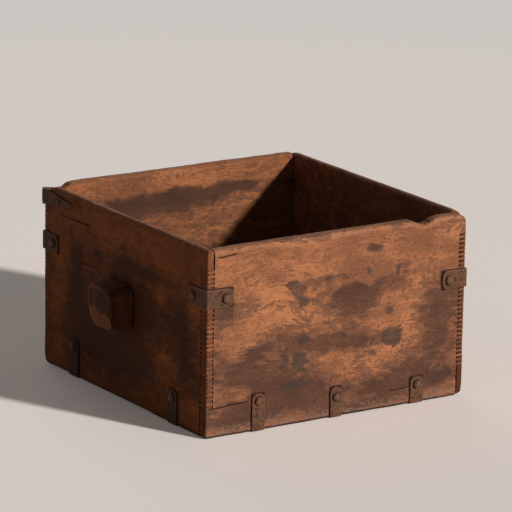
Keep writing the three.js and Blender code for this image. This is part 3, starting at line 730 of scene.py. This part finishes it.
def build_handle(node, side, material, seed):
    """A chamfered, tapering block: its section is the 1/p-norm of eight sides, with slightly soft corners.

    The rings run out along the block, round its outer arris and in to the middle of the end face. A plane has
    broken away part of the end: what lay beyond it is pressed back on to it.
    """
    low, high = wall_box(side, node)
    centre, half, length = (low + high) / 2, (high - low) / 2, high[1] - low[1]
    angle = np.linspace(0, 2 * np.pi, HANDLE_COUNT, endpoint=False)
    across, down = HANDLE_CHAMFER
    slant = np.array([down, across]) / math.hypot(down, across)
    reach = slant @ np.array([half[0], half[2] - down])
    sides = [(1, 0, half[0]), (-1, 0, half[0]), (0, 1, half[2]), (0, -1, half[2])]
    sides += [(i * slant[0], j * slant[1], reach) for i in (-1, 1) for j in (-1, 1)]
    facing = [np.maximum(np.cos(angle) * i + np.sin(angle) * j, 0) / d for i, j, d in sides]
    radius = np.sum(np.array(facing) ** HANDLE_NORM, axis=0) ** (-1 / HANDLE_NORM)

    arc = np.radians(np.linspace(0, 90, ARC_RINGS))[1:]
    side_out = np.linspace(0, length - HANDLE_END_ROUND, SIDE_RINGS)
    arc_out = length - HANDLE_END_ROUND + HANDLE_END_ROUND * np.sin(arc)
    arc_in = HANDLE_END_ROUND * (1 - np.cos(arc))
    out = np.concatenate([side_out, arc_out, np.full(FACE_RINGS, length)])[:, None]
    inset = np.concatenate([0 * side_out, arc_in, np.full(FACE_RINGS, HANDLE_END_ROUND)])[:, None]
    shrink = np.concatenate([0 * side_out + 1, 0 * arc_out + 1, np.linspace(0.94, 0.04, FACE_RINGS)])[:, None]
    scale = (radius - inset) / radius * shrink
    u = scale * radius * np.cos(angle) * (1 - (out / length) * HANDLE_TAPER[0] / half[0])
    v = scale * radius * np.sin(angle) * (1 - (out / length) * HANDLE_TAPER[1] / half[2])
    o = out + 0 * u

    # Knife facets and wear: the block's skin is pushed in a little, and its arrises more
    dull = 0.35 * (1 + value_noise(angle * 22, o, 9, seed)) * ease(o, 0, 3)
    near_arris = fade(np.abs(length - o), 1.1) * (shrink > 0.9)
    uneven = 1 + value_noise(angle * 20, 0, 6, seed + 1)
    pull = 1 - (dull + 0.7 * near_arris * uneven) / half[0] * (shrink > 0.99)
    u, v = u * pull, v * pull
    o = o - 0.3 * (1 + value_noise(u, v * 0.4, 8, seed + 2)) * ease(o, length - 4, length)

    (at_u, at_v), depth, (sideways, downwards), rough = SCARS[side]
    level = math.cos(sideways)
    normal = (math.sin(sideways), level * math.cos(downwards), -level * math.sin(downwards))
    beyond = (u - at_u) * normal[0] + (o - length + depth) * normal[1] + (v - at_v) * normal[2]
    ragged = value_noise(u * 0.5, v * 0.25, 3, seed + 3) + value_noise(u, v * 0.3, 1.8, seed + 4)
    cut = np.maximum(beyond + rough * ragged, 0)
    u, o, v = u - cut * normal[0], o - cut * normal[1], v - cut * normal[2]
    bare = ease(cut, 0.1, 0.5)

    placed = place(side, centre[0] + u, high[1] - o, centre[2] + v)
    points = np.concatenate([placed.reshape(-1, 3), [placed[-1].mean(0)]])
    rings, count = u.shape
    quads, foot, _ = tube_faces(rings, count)
    caps = [foot] + pole_fan((rings - 1) * count, count, rings * count)
    upper_left = ease(np.cos(angle - math.radians(145)), 0.2, 0.9)
    worn = np.clip(near_arris * (length - o < 2), 0, 1) * (0.15 + 0.85 * upper_left)
    corner = (radius > np.percentile(radius, 84)) * (shrink > 0.99) * 0.1
    # Each mask ends with the value in the middle of the end face
    masks = {
        "worn": (np.maximum(worn, corner), 0),
        "broken": (bare, bare[-1].mean()),
        "grime_and_shade": (0.8 * fade(o, 1.5), 0),
        "stain": (0.45 + 0.15 * value_noise(u, v, 14, seed + 5), 0.45),
        # painted shade over the block, a little less on its broken end
        "soot": (0.9 - 0.4 * bare, 0.9 - 0.4 * bare[-1].mean()),
    }
    masks = {name: np.append(*values) for name, values in masks.items()}
    add_piece(f"{node}_block", points, quads, caps, material, node, masks)


# Floor planks

PLANK_STEP = 3.2
PLANK_STEP_ALONG = 4.0
PLANK_LAP = 8.0


def plank_outline(side_edge, lap_wide, lap_narrow, thick, gap):
    """The plank's section: points in order round it from its lower outer edge, in even steps on each side."""
    middle = thick / 2 - gap
    corners = np.array([
        (side_edge, 0), (lap_wide, 0), (lap_wide, middle), (lap_narrow, middle), (lap_narrow, thick),
        (side_edge, thick),
    ])
    parts = []
    for start, end in zip(corners, np.roll(corners, -1, axis=0)):
        steps = max(2, int(np.linalg.norm(end - start) / PLANK_STEP))
        parts.append(start + (end - start) * np.linspace(0, 1, steps, endpoint=False)[:, None])
    return np.concatenate(parts)


def build_plank(node, towards_back, material, seed):
    """A floor plank: its half-lapped section carried from left to right, worn hollow on top."""
    low, high = node_box(node)
    thick = high[2] - low[2]
    if towards_back:
        outline = plank_outline(high[1], low[1] + PLANK_LAP, low[1], thick, -JOINT_GAP / 2)
    else:
        outline = plank_outline(low[1], high[1], high[1] - PLANK_LAP, thick, JOINT_GAP / 2)
    x, y, z = np.broadcast_arrays(spread(low[0], high[0], PLANK_STEP_ALONG)[:, None], *outline.T)
    hollow = 0.35 * (1 + value_noise(x, y * 2, 60, seed)) + 0.12 * value_noise(x, y * 5, 12, seed + 1)
    from_side = np.minimum(np.abs(y - outline[:, 0].min()), np.abs(y - outline[:, 0].max()))
    z = z - (z > thick - 0.1) * (hollow + fade(from_side, 1.2)) + low[2]
    near = reduce(np.minimum, (np.abs(y - low[1]), np.abs(high[1] - y), x - low[0], high[0] - x))
    masks = {
        "stain": 0.45 + 0.3 * value_noise(x, y, 50, seed + 2),
        "grime_and_shade": fade(near, 5),
        "worn": np.full(y.shape, 0.3),
        # painted shade over the measure's inner floor
        "soot": np.full(y.shape, 0.35),
    }
    quads, *caps = tube_faces(*y.shape)
    points = np.stack([x, y, z], -1)
    add_piece(f"{node}_plank", points, quads, caps, material, node, masks)


# Materials

def from_hex(text):
    """A linear colour from its sRGB hex: a channel c becomes c / 12.92, or ((c + 0.055) / 1.055) ** 2.4."""
    channels = [int(text[k:k + 2], 16) / 255 for k in (1, 3, 5)]
    return tuple(c / 12.92 if c <= 0.04045 else ((c + 0.055) / 1.055) ** 2.4 for c in channels)


def shade(group, name):
    """A colour as a node input: one of a settings group by its name, or one written as a hex."""
    return (*(from_hex(name) if name[0] == "#" else getattr(group, name)), 1.0)


def add_node(tree, kind, inputs=None, out=0, **settings):
    """Adds a node with its settings and its inputs, which are values or other outputs; gives one output."""
    node = tree.nodes.new(kind)
    for name, value in settings.items():
        setattr(node, name, value)
    for key, value in (inputs or {}).items():
        if isinstance(value, bpy.types.NodeSocket):
            tree.links.new(value, node.inputs[key])
        else:
            node.inputs[key].default_value = value
    return node.outputs[out] if node.outputs else None


def cleared(owner):
    """Empties the node tree of a material or world, and gives a short way to add nodes to it."""
    owner.use_nodes = True
    owner.node_tree.nodes.clear()
    return partial(add_node, owner.node_tree)


def weigh(add, sockets, weights):
    """The sum of the named sockets, each times its weight."""
    total = 0.0
    for name, weight in weights.items():
        total = add("ShaderNodeMath", {0: sockets[name], 1: weight, 2: total}, operation="MULTIPLY_ADD")
    return total


def lay_over(add, colour, layers, sockets, group):
    """Lays colours over a colour, and keeps the strength of each one among the sockets, under its name.

    The strength is the weighted sum of its sockets, eased from 0 at start to most at full. A layer without
    weights takes it from the socket of its own name.
    """
    for name, (weights, start, full, most, tint) in layers.items():
        if weights:
            total = weigh(add, sockets, weights)
            eased = {"Value": total, "From Min": start, "From Max": full, "To Max": most}
            sockets[name] = add("ShaderNodeMapRange", eased, interpolation_type="SMOOTHSTEP")
        blend = "MULTIPLY" if name in DARKENING else "MIX"
        mixed = {0: sockets[name], 6: colour, 7: shade(group, tint)}
        colour = add("ShaderNodeMix", mixed, out=2, data_type="RGBA", blend_type=blend)
    return colour


def seen_from_camera(add):
    """1 for what the camera sees, straight or in a gloss or through glass, and 0 for all other light."""
    rays = ("Is Camera Ray", "Is Glossy Ray", "Is Transmission Ray")
    sockets = [add("ShaderNodeLightPath", out=ray) for ray in rays]
    return reduce(lambda a, b: add("ShaderNodeMath", {0: a, 1: b}, operation="MAXIMUM"), sockets)


# Patterns in old wood: length and width in millimetres, detail and roughness of the noise. Real fibres
# are finer than these, which are as coarse as they need to be to show.
WOOD_PATTERNS = {
    "tone": (66, 23, 4, 0.58),
    "figure": (140, 3.4, 3, 0.6),
    "fibre": (16, 0.8, 2, 0.6),
    "mottle": (15, 7, 8, 0.62),
    "patch": (5.5, 2.8, 5, 0.66),
    "speck": (1.9, 1.3, 2, 0.5),
    "scratch": (17, 1.1, 2, 0.4),
}
WOOD_MASKS = ("stain", "smudge", "worn", "grime_and_shade", "dusty", "end_grain", "broken", "soot")
# The grain lines sway to and fro by some 10 mm: how strongly, in metres, and how many sways a metre has
GRAIN_SWAY = 0.038
SWAYS = 11.0
GRAIN_TURNS = {"x": (0, 0, 0), "y": (0, 0, -math.pi / 2), "z": (0, math.pi / 2, 0)}
BROAD_STAIN = {"stain": 1, "mottle": 0.7, "tone": 0.45}
STAIN_CAP = 1.22
DRIFT = {"tone": 0.38, "figure": 0.12, "fibre": 0.14, "patch": 0.36}
# Layers over the wood's own colour, from the lowest up: the patterns and masks whose weighted sum draws each,
# the sums at which it starts and is full, how strong it is at most, and its colour
WOOD_LAYERS = {
    "line": ({"figure": 1}, 0.59, 0.68, 0.35, "#4A2F22"),
    "spotted": ({"patch": 1, "stain": 0.25}, 0.69, 0.72, 0.5, "stain"),
    "rubbed": ({"worn": 1, "mottle": 0.5, "patch": 0.35}, 0.72, 1.15, 0.8, "rubbed"),
    "flaked": ({"worn": 1, "patch": 1}, 1.18, 1.3, 0.45, "#5A3D2E"),
    "torn": ({"broken": 1, "fibre": 0.25}, 0.35, 0.8, 0.5, "torn"),
    "stained": ({"capped": 1, "patch": 0.4}, 1.305, 1.327, 0.58, "stain"),
    "soaked": ({"broad": 1}, 1.20, 1.27, 0.6, "soaked"),
    "dusted": ({"dusty": 0.5, "patch": 0.6, "mottle": 0.6}, 0.98, 1.22, 0.5, "#907462"),
    "smudged": ({"smudge": 1, "mottle": 0.6, "patch": 0.3}, 0.68, 0.86, 0.68, "smudge"),
    "scratched": ({"scratch": 1}, 0.64, 0.68, 0.35, "#3A251B"),
    "specks": ({"speck": 1}, 0.64, 0.69, 0.65, "#2A1A13"),
    "end_grain": (None, 0, 1, 1, "#8C7C70"),
    # dirt in the joints and cracks and against the ironwork, and painted contact shadow along the foot
    "dirt": ({"grime_and_shade": 1, "speck": 0.4}, 0.38, 1.1, 0.9, "dirt"),
    # painted shade: the wood's colour multiplied by this colour as far as the mask says, for faces that lie
    # in shade
    "soot": (None, 0, 1, 1, "soot"),
}
DARKENING = ("soaked", "end_grain", "soot")
WOOD_RELIEF = {"fibre": 0.55, "figure": 0.45, "patch": 0.4, "scratch": 0.5, "specks": -0.5, "line": -0.25}


def aged_softwood(name, grain, wood, dark="dark", light="light"):
    """Old pine, planed by hand and never varnished, browned by oil and handling, with painted shade where it
    lies in shade.

    The eye gets long fine grain lines along the board, soft light and dark drifts between them, purple-brown
    oil stains with mottled outlines, black specks, dirt in every joint, a painted contact shadow along the
    foot, and paler wood where hands rub.
    """
    material = bpy.data.materials.new(name)
    add = cleared(material)
    at = add("ShaderNodeTexCoord", out="Object")
    sway = add("ShaderNodeTexNoise", {"Vector": at, "Scale": SWAYS, "Detail": 1}, out="Color")
    swayed = add("ShaderNodeVectorMath", {0: sway, 1: (GRAIN_SWAY,) * 3, 2: at}, operation="MULTIPLY_ADD")
    turned = add("ShaderNodeMapping", {"Vector": swayed, "Rotation": GRAIN_TURNS[grain]})
    sockets = {key: add("ShaderNodeAttribute", attribute_name=key, out="Fac") for key in WOOD_MASKS}
    for key, (along, across, detail, rough) in WOOD_PATTERNS.items():
        scale = (1000 / along, 1000 / across, 1000 / across)
        stretched = add("ShaderNodeMapping", {"Vector": turned, "Scale": scale})
        noise = {"Vector": stretched, "Scale": 1.0, "Detail": detail, "Roughness": rough}
        sockets[key] = add("ShaderNodeTexNoise", noise)
    sockets["broad"] = weigh(add, sockets, BROAD_STAIN)
    sockets["capped"] = add("ShaderNodeMath", {0: sockets["broad"], 1: STAIN_CAP}, operation="MINIMUM")
    layers = {"drift": (DRIFT, 0.43, 0.58, 1, light), **WOOD_LAYERS}
    colour = lay_over(add, shade(wood, dark), layers, sockets, wood)
    relief = weigh(add, sockets, WOOD_RELIEF)
    dull = {0: sockets["mottle"], 1: 0.35, 2: 0.45}
    shader = add("ShaderNodeBsdfPrincipled", {
        "Base Color": colour,
        "Roughness": add("ShaderNodeMath", dull, operation="MULTIPLY_ADD"),
        "IOR": 1.5,
        "Specular IOR Level": 0.06,
        "Normal": add("ShaderNodeBump", {"Strength": 0.7, "Distance": 0.0009, "Height": relief}),
    })
    add("ShaderNodeOutputMaterial", {"Surface": shader})
    return material


# Patterns in old rust: size in millimetres, detail and roughness of the noise.
RUST_PATTERNS = {"cloud": (11, 4, 0.6), "pit": (1.5, 3, 0.55), "grit": (3.6, 4, 0.65)}
RUST_LAYERS = {
    "reddened": ({"cloud": 1}, 0.5, 0.6, 0.8, "red"),
    "scaled": ({"grit": 1}, 0.5, 0.62, 0.85, "dark"),
    "pitted": ({"pit": 1}, 0.6, 0.7, 0.75, "#241711"),
    # paler on the arrises and nail tops: partly rubbed bare metal, partly a painted highlight
    "rubbed_and_highlight": ({"edge": 1, "grit": 0.9}, 1.05, 1.6, 1, "rubbed"),
    "dirty": ({"foot": 1}, 0.2, 1, 0.8, "#2A1B14"),
    # painted shade: all of the iron darkened by a set amount for each material
    "grime_and_shade": (None, 0, 1, 1, "#26190F"),
}


def rusted_iron(name, iron, rubbed_and_highlight, grime_and_shade=0.0):
    """Hand-forged iron strip, rusted brown long ago and then oiled by handling.

    The eye gets olive and red brown clouds a few millimetres across, dark pits, and paler metal on the
    arrises and the tops of the nail heads, partly rubbed bare and partly a painted highlight. The third
    argument is how pale it is there, and the last is how far all of it is darkened by painted shade, for iron
    that lies in shade.
    """
    material = bpy.data.materials.new(name)
    add = cleared(material)
    at = add("ShaderNodeTexCoord", out="Object")
    sockets = {key: add("ShaderNodeAttribute", attribute_name=key, out="Fac") for key in ("edge", "foot")}
    sockets["grime_and_shade"] = grime_and_shade
    for key, (size, detail, rough) in RUST_PATTERNS.items():
        noise = {"Vector": at, "Scale": 1000 / size, "Detail": detail, "Roughness": rough}
        sockets[key] = add("ShaderNodeTexNoise", noise)
    weights, start, full, _, tint = RUST_LAYERS["rubbed_and_highlight"]
    layers = {**RUST_LAYERS, "rubbed_and_highlight": (weights, start, full, rubbed_and_highlight, tint)}
    colour = lay_over(add, shade(iron, "brown"), layers, sockets, iron)
    bare, relief = sockets["rubbed_and_highlight"], weigh(add, sockets, {"grit": 1, "pit": -0.6})
    shader = add("ShaderNodeBsdfPrincipled", {
        "Base Color": colour,
        "Metallic": add("ShaderNodeMath", {0: bare, 1: 0.3}, operation="MULTIPLY"),
        "Roughness": add("ShaderNodeMath", {0: bare, 1: -0.25, 2: 0.72}, operation="MULTIPLY_ADD"),
        "Specular IOR Level": 0.12,
        "Normal": add("ShaderNodeBump", {"Strength": 0.6, "Distance": 0.0005, "Height": relief}),
    })
    add("ShaderNodeOutputMaterial", {"Surface": shader})
    return material


def studio_paper(name, light):
    """Matt seamless paper on the floor: warm white near the object and cooler far off, with no gloss.

    Seen straight from the camera it also glows a little, so it looks pale without more light on the object.
    """
    material = bpy.data.materials.new(name)
    add = cleared(material)
    at = add("ShaderNodeTexCoord", out="Object")
    far = add("ShaderNodeVectorMath", {0: at}, out="Value", operation="LENGTH")
    cool = add("ShaderNodeMapRange", {"Value": far, "From Min": 0.3, "From Max": 3.5})
    mixed = {0: cool, 6: shade(light, "paper_near"), 7: shade(light, "paper_far")}
    colour = add("ShaderNodeMix", mixed, out=2, data_type="RGBA")
    glow = {0: seen_from_camera(add), 1: light.paper_glow}
    glow = add("ShaderNodeMath", glow, operation="MULTIPLY")
    paper = add("ShaderNodeBsdfDiffuse", {"Color": colour})
    shine = add("ShaderNodeEmission", {"Color": colour, "Strength": glow})
    both = add("ShaderNodeAddShader", {0: paper, 1: shine})
    add("ShaderNodeOutputMaterial", {"Surface": both})
    return material


# Settings

def length(name, text, default):
    """A length property, given in millimetres."""
    return FloatProperty(name=name, description=text, default=default * MM, min=0, unit="LENGTH", precision=5)


def strength(name, text, default):
    """A plain number from 0 up."""
    return FloatProperty(name=name, description=text, default=default, min=0)


def colour(name, text, default):
    """A colour property, given as an sRGB hex."""
    return FloatVectorProperty(
        name=name, description=text, default=from_hex(default), min=0, max=1, size=3, subtype="COLOR",
    )


class BoardWear(bpy.types.PropertyGroup):
    """How worn the four walls are."""
    rim_round: length("Rim rounding", "Radius to which the rim's arrises are rubbed", 1.7)
    rim_dip: length("Rim hollows", "How deep the rim is hollowed by the levelling stick", 0.3)
    foot_round: length("Foot rounding", "Radius of the lowest arris", 2.8)
    end_round: length("Corner rounding", "Radius of the upright corners over the comb", 1.5)
    joint_wear: length("Joint wear", "How far each finger has worn away from the next", 0.12)
    root_gap: length("Root gap", "How far the sawn notches run past the neighbour's face", 1.0)
    rub_reach: length("Rubbed rim", "How far below the rim hands have worn the wood paler", 7.0)


class IronWear(bpy.types.PropertyGroup):
    """The forged look of straps and nails."""
    hammer: length("Hammer marks", "Depth of the marks on the straps", 0.22)
    corner_round: length("Corner strap ends", "Radius of the corner straps' rounded ends", 7.0)
    top_round: length("Bottom strap ends", "Radius of the bottom straps' rounded tops", 6.0)


class WoodColours(bpy.types.PropertyGroup):
    """Colours of the old wood."""
    light: colour("Light wood", "The palest drifts of the walls", "#A76B46")
    dark: colour("Dark wood", "The darkest drifts of the walls", "#784C34")
    grip_light: colour("Light grip wood", "The palest drifts of the grip blocks", "#6A4437")
    grip_dark: colour("Dark grip wood", "The darkest drifts of the grip blocks", "#422A24")
    stain: colour("Oil stain", "Where old oil has soaked in", "#4E362C")
    soaked: colour("Deep oil stain", "What the middle of an oil stain leaves of the colour", "#A0AABE")
    smudge: colour("Smudges", "Formless dark smudges on the front", "#3A322C")
    rubbed: colour("Rubbed wood", "Where hands have worn the surface", "#A87050")
    torn: colour("Broken wood", "Where wood has split away", "#94603E")
    # Dirt, and also the colour of the painted contact shadow along the foot
    dirt: colour("Dirt", "In the joints and against the ironwork", "#23150F")
    # Painted shade: what is left of the wood's colour where it lies in shade
    soot: colour("Soot", "What smoke leaves of the wood's colour", "#CAB188")


class IronColours(bpy.types.PropertyGroup):
    """Colours of the rusted iron."""
    brown: colour("Brown iron", "The oiled old rust that covers the straps", "#593D2A")
    red: colour("Red rust", "Clouds of redder rust", "#6C422C")
    dark: colour("Dark rust", "Darker scale", "#34231A")
    # Paler iron on the arrises and nail tops, partly rubbed metal and partly a painted highlight
    rubbed: colour("Rubbed iron", "Arrises and nail tops", "#735341")


class StudioLight(bpy.types.PropertyGroup):
    """Lamps and floor."""
    key: strength("Key", "Strength of the low lamp from the front right", 4.0)
    key_spread: FloatProperty(
        name="Key spread", description="Width of the key lamp as seen from the object",
        default=math.radians(4), subtype="ANGLE",
    )
    back: strength("Back", "Strength of the soft level lamp from behind", 1.1)
    fill: strength("Fill", "Strength of the light from all round", 0.11)
    paper_near: colour("Paper near", "Floor colour at the object", "#FFF3EA")
    paper_far: colour("Paper far", "Floor colour far behind", "#F0ECEA")
    paper_glow: strength("Glow", "How much the floor glows to the camera", 0.05)
    seen: colour("Background", "The colour behind the floor's edge", "#CECACA")


class MeasureSettings(bpy.types.PropertyGroup):
    """All settings of the grain measure."""
    boards: PointerProperty(type=BoardWear)
    ironwork: PointerProperty(type=IronWear)
    wood: PointerProperty(type=WoodColours)
    iron: PointerProperty(type=IronColours)
    light: PointerProperty(type=StudioLight)


def in_mm(group):
    """The lengths of a property group in millimetres."""
    return SimpleNamespace(**{name: getattr(group, name) / MM for name in group.__annotations__})


# Operators

CORNER_SIDES = {"front_left": "front", "front_right": "right", "back_right": "back", "back_left": "left"}


class MEASURE_OT_boards(bpy.types.Operator):
    """Builds the four comb-jointed walls"""
    bl_idname = "measure.boards"
    bl_label = "Walls"

    def execute(self, context):
        settings = context.scene.grain_measure
        wear = in_mm(settings.boards)
        for side, grain in zip(SIDES, "xyxy"):
            material = aged_softwood(f"aged_softwood_{side}", grain, settings.wood)
            points, quads, flat, masks = board_shape(side, wear)
            add_piece(f"{side}_wall", points, quads, [], material, f"{side}_board", masks, flat)
        return {"FINISHED"}


class MEASURE_OT_corner_straps(bpy.types.Operator):
    """Builds the four iron straps that are bent round the corners"""
    bl_idname = "measure.corner_straps"
    bl_label = "Corner straps"

    def execute(self, context):
        settings = context.scene.grain_measure
        iron = in_mm(settings.ironwork)
        clean = rusted_iron("rusted_strap_iron", settings.iron, 0.7)
        # The left wall's straps lie in shade: their copy has painted shade and a weaker painted highlight
        shaded_side = rusted_iron("grimy_strap_iron", settings.iron, 0.5, 0.3)
        for number, (corner, side) in enumerate(CORNER_SIDES.items()):
            look = (shaded_side if side == "left" else clean, iron.hammer, 300 + 10 * number)
            build_corner_strap(f"{corner}_strap", side, iron.corner_round, *look)
        return {"FINISHED"}


class MEASURE_OT_bottom_straps(bpy.types.Operator):
    """Builds the ten iron straps that run down the walls and fold under the floor"""
    bl_idname = "measure.bottom_straps"
    bl_label = "Bottom straps"

    def execute(self, context):
        settings = context.scene.grain_measure
        iron = in_mm(settings.ironwork)
        clean = rusted_iron("rusted_bottom_iron", settings.iron, 0.6)
        # The left wall's straps lie in shade: their copy has painted shade and a weaker painted highlight
        shaded_side = rusted_iron("grimy_bottom_iron", settings.iron, 0.4, 0.6)
        for number, node in enumerate(cad_nodes("_bottom_strap_")):
            side = side_of(node)
            look = (shaded_side if side == "left" else clean, iron.hammer, 400 + 10 * number)
            build_bottom_strap(node, side, iron.top_round, *look)
        return {"FINISHED"}


class MEASURE_OT_patch(bpy.types.Operator):
    """Builds the three-cornered iron patch round the back left corner"""
    bl_idname = "measure.patch"
    bl_label = "Corner patch"

    def execute(self, context):
        settings = context.scene.grain_measure
        # The patch lies mostly in shade: painted shade over it, and a weaker painted highlight
        material = rusted_iron("rusted_sheet_iron", settings.iron, 0.5, 0.2)
        build_corner_patch("corner_patch", "left", material, in_mm(settings.ironwork).hammer, 520)
        return {"FINISHED"}


class MEASURE_OT_nails(bpy.types.Operator):
    """Builds the forged rivets and nails, and gives the foot nails their finish"""
    bl_idname = "measure.nails"
    bl_label = "Rivets and nails"

    def execute(self, context):
        material = rusted_iron("rubbed_nail_iron", context.scene.grain_measure.iron, 0.5)
        rivets = [(f"{corner}_rivet_{side}", side) for corner in CORNER_SIDES for side in corner.split("_")]
        tacks = [(f"corner_patch_tack_{side}", side) for side in ("left", "back")]
        strap_nails, grip_nails = (
            [(node, side_of(node)) for node in cad_nodes(part)] for part in ("_bottom_nail_", "_handle_nail_")
        )
        # Each kind's head height and shank radius, and whether it is driven from inside the wall
        kinds = ((rivets, 3.0, 2.0, False), (strap_nails, 2.8, 1.8, False), (tacks, 1.4, 0.9, False),
                 (grip_nails, 1.2, 1.8, True))
        seed = 600
        for nails, head_height, shank_radius, inwards in kinds:
            for node, side in nails:
                build_nail(node, side, head_height, shank_radius, material, inwards, seed)
                seed += 3
        for node in cad_nodes("_foot_nail_"):
            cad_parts[node].material_slots[0].material = material
        return {"FINISHED"}


class MEASURE_OT_handles(bpy.types.Operator):
    """Builds the two grip blocks"""
    bl_idname = "measure.handles"
    bl_label = "Grip blocks"

    def execute(self, context):
        wood = context.scene.grain_measure.wood
        material = aged_softwood("aged_grip_wood", "z", wood, "grip_dark", "grip_light")
        for number, side in enumerate(SCARS):
            build_handle(f"{side}_handle", side, material, 700 + 10 * number)
        return {"FINISHED"}


class MEASURE_OT_floor_planks(bpy.types.Operator):
    """Builds the two planks of the measure's own floor"""
    bl_idname = "measure.floor_planks"
    bl_label = "Floor planks"

    def execute(self, context):
        material = aged_softwood("dusty_floor_wood", "x", context.scene.grain_measure.wood)
        build_plank("bottom_board_front", False, material, 800)
        build_plank("bottom_board_back", True, material, 820)
        return {"FINISHED"}


# The camera: its place in millimetres, its turns, and its focal length behind a picture 36 mm wide
EYE = (-2156.63, -3307.43, 1175.56)
AZIMUTH, ELEVATION, ROLL = np.radians((-33.164, 14.753, 0.933))
LENS, PICTURE_WIDTH = 268.43, 36.0
# Where the lamps' light comes from, and how soft the one from behind is
KEY_FROM = (0.398, -0.848, 0.351)
BACK_FROM = (0.25, 0.96, 0.10)
BACK_SPREAD = math.radians(40)
FLOOR_REACH = 14.0


def camera_axes():
    """The camera's right, up and back directions from its azimuth, elevation and roll."""
    sin_a, sin_e, sin_r = np.sin((AZIMUTH, ELEVATION, ROLL))
    cos_a, cos_e, cos_r = np.cos((AZIMUTH, ELEVATION, ROLL))
    back = Vector((sin_a * cos_e, -cos_a * cos_e, sin_e))
    right = Vector((cos_a, sin_a, 0))
    up = back.cross(right)
    return right * cos_r + up * sin_r, up * cos_r - right * sin_r, back


class MEASURE_OT_stage(bpy.types.Operator):
    """Builds the studio: paper floor, lamps, background and camera"""
    bl_idname = "measure.stage"
    bl_label = "Studio"

    def execute(self, context):
        scene, light = context.scene, context.scene.grain_measure.light

        def stand(name, data):
            """Makes an object of this and puts it in the scene."""
            holder = bpy.data.objects.new(name, data)
            scene.collection.objects.link(holder)
            return holder

        mesh = bpy.data.meshes.new("studio_floor")
        corners = [(x * FLOOR_REACH, y * FLOOR_REACH, 0) for x, y in ((-1, -1), (1, -1), (1, 1), (-1, 1))]
        mesh.from_pydata(corners, [], [(0, 1, 2, 3)])
        mesh.materials.append(studio_paper("studio_paper", light))
        stand("studio_floor", mesh)

        lamps = (("key", KEY_FROM, light.key, light.key_spread), ("back", BACK_FROM, light.back, BACK_SPREAD))
        for name, source, power, width in lamps:
            lamp = bpy.data.lights.new(f"{name}_lamp", "SUN")
            lamp.energy, lamp.angle = power, width
            holder = stand(f"{name}_lamp", lamp)
            holder.rotation_euler = Vector(source).to_track_quat("Z", "Y").to_euler()
            holder.location = Vector(source) * 3

        scene.world = bpy.data.worlds.new("studio_world")
        add = cleared(scene.world)
        lit = add("ShaderNodeBackground", {"Color": (1, 1, 1, 1), "Strength": light.fill})
        shown = add("ShaderNodeBackground", {"Color": shade(light, "seen"), "Strength": 1.0})
        both = add("ShaderNodeMixShader", {0: seen_from_camera(add), 1: lit, 2: shown})
        add("ShaderNodeOutputWorld", {"Surface": both})

        camera = bpy.data.cameras.new("photo_camera")
        camera.sensor_width, camera.lens, camera.clip_end = PICTURE_WIDTH, LENS, 100
        scene.camera = stand("photo_camera", camera)
        turn = Matrix(camera_axes()).transposed().to_4x4()
        scene.camera.matrix_world = Matrix.Translation(Vector(EYE) * MM) @ turn
        scene.view_settings.view_transform = "Standard"
        return {"FINISHED"}


class MEASURE_PT_panel(bpy.types.Panel):
    """Lists the parts of the grain measure and its settings"""
    bl_idname = "MEASURE_PT_panel"
    bl_label = "Grain measure"
    bl_space_type = "VIEW_3D"
    bl_region_type = "UI"
    bl_category = "Measure"

    def draw(self, context):
        layout, settings = self.layout, context.scene.grain_measure
        for operator in OPERATORS:
            layout.operator(operator.bl_idname)
        for key, title in (
            ("boards", "Wall wear"), ("ironwork", "Iron wear"), ("wood", "Wood colours"),
            ("iron", "Iron colours"), ("light", "Studio"),
        ):
            box, group = layout.box(), getattr(settings, key)
            box.label(text=title)
            for name in group.__annotations__:
                box.prop(group, name)


OPERATORS = (
    MEASURE_OT_boards, MEASURE_OT_corner_straps, MEASURE_OT_bottom_straps, MEASURE_OT_patch, MEASURE_OT_nails,
    MEASURE_OT_handles, MEASURE_OT_floor_planks, MEASURE_OT_stage,
)
CLASSES = (
    BoardWear, IronWear, WoodColours, IronColours, StudioLight, MeasureSettings, *OPERATORS, MEASURE_PT_panel,
)


def register():
    """Makes the settings, operators and panel known."""
    for cls in CLASSES:
        bpy.utils.register_class(cls)
    bpy.types.Scene.grain_measure = PointerProperty(type=MeasureSettings)


def unregister():
    """Takes them away again."""
    del bpy.types.Scene.grain_measure
    for cls in reversed(CLASSES):
        bpy.utils.unregister_class(cls)


def main():
    """Builds every piece and the studio."""
    register()
    bpy.ops.measure.boards()
    bpy.ops.measure.corner_straps()
    bpy.ops.measure.bottom_straps()
    bpy.ops.measure.patch()
    bpy.ops.measure.nails()
    bpy.ops.measure.handles()
    bpy.ops.measure.floor_planks()
    bpy.ops.measure.stage()


if __name__ == "__main__":
    main()
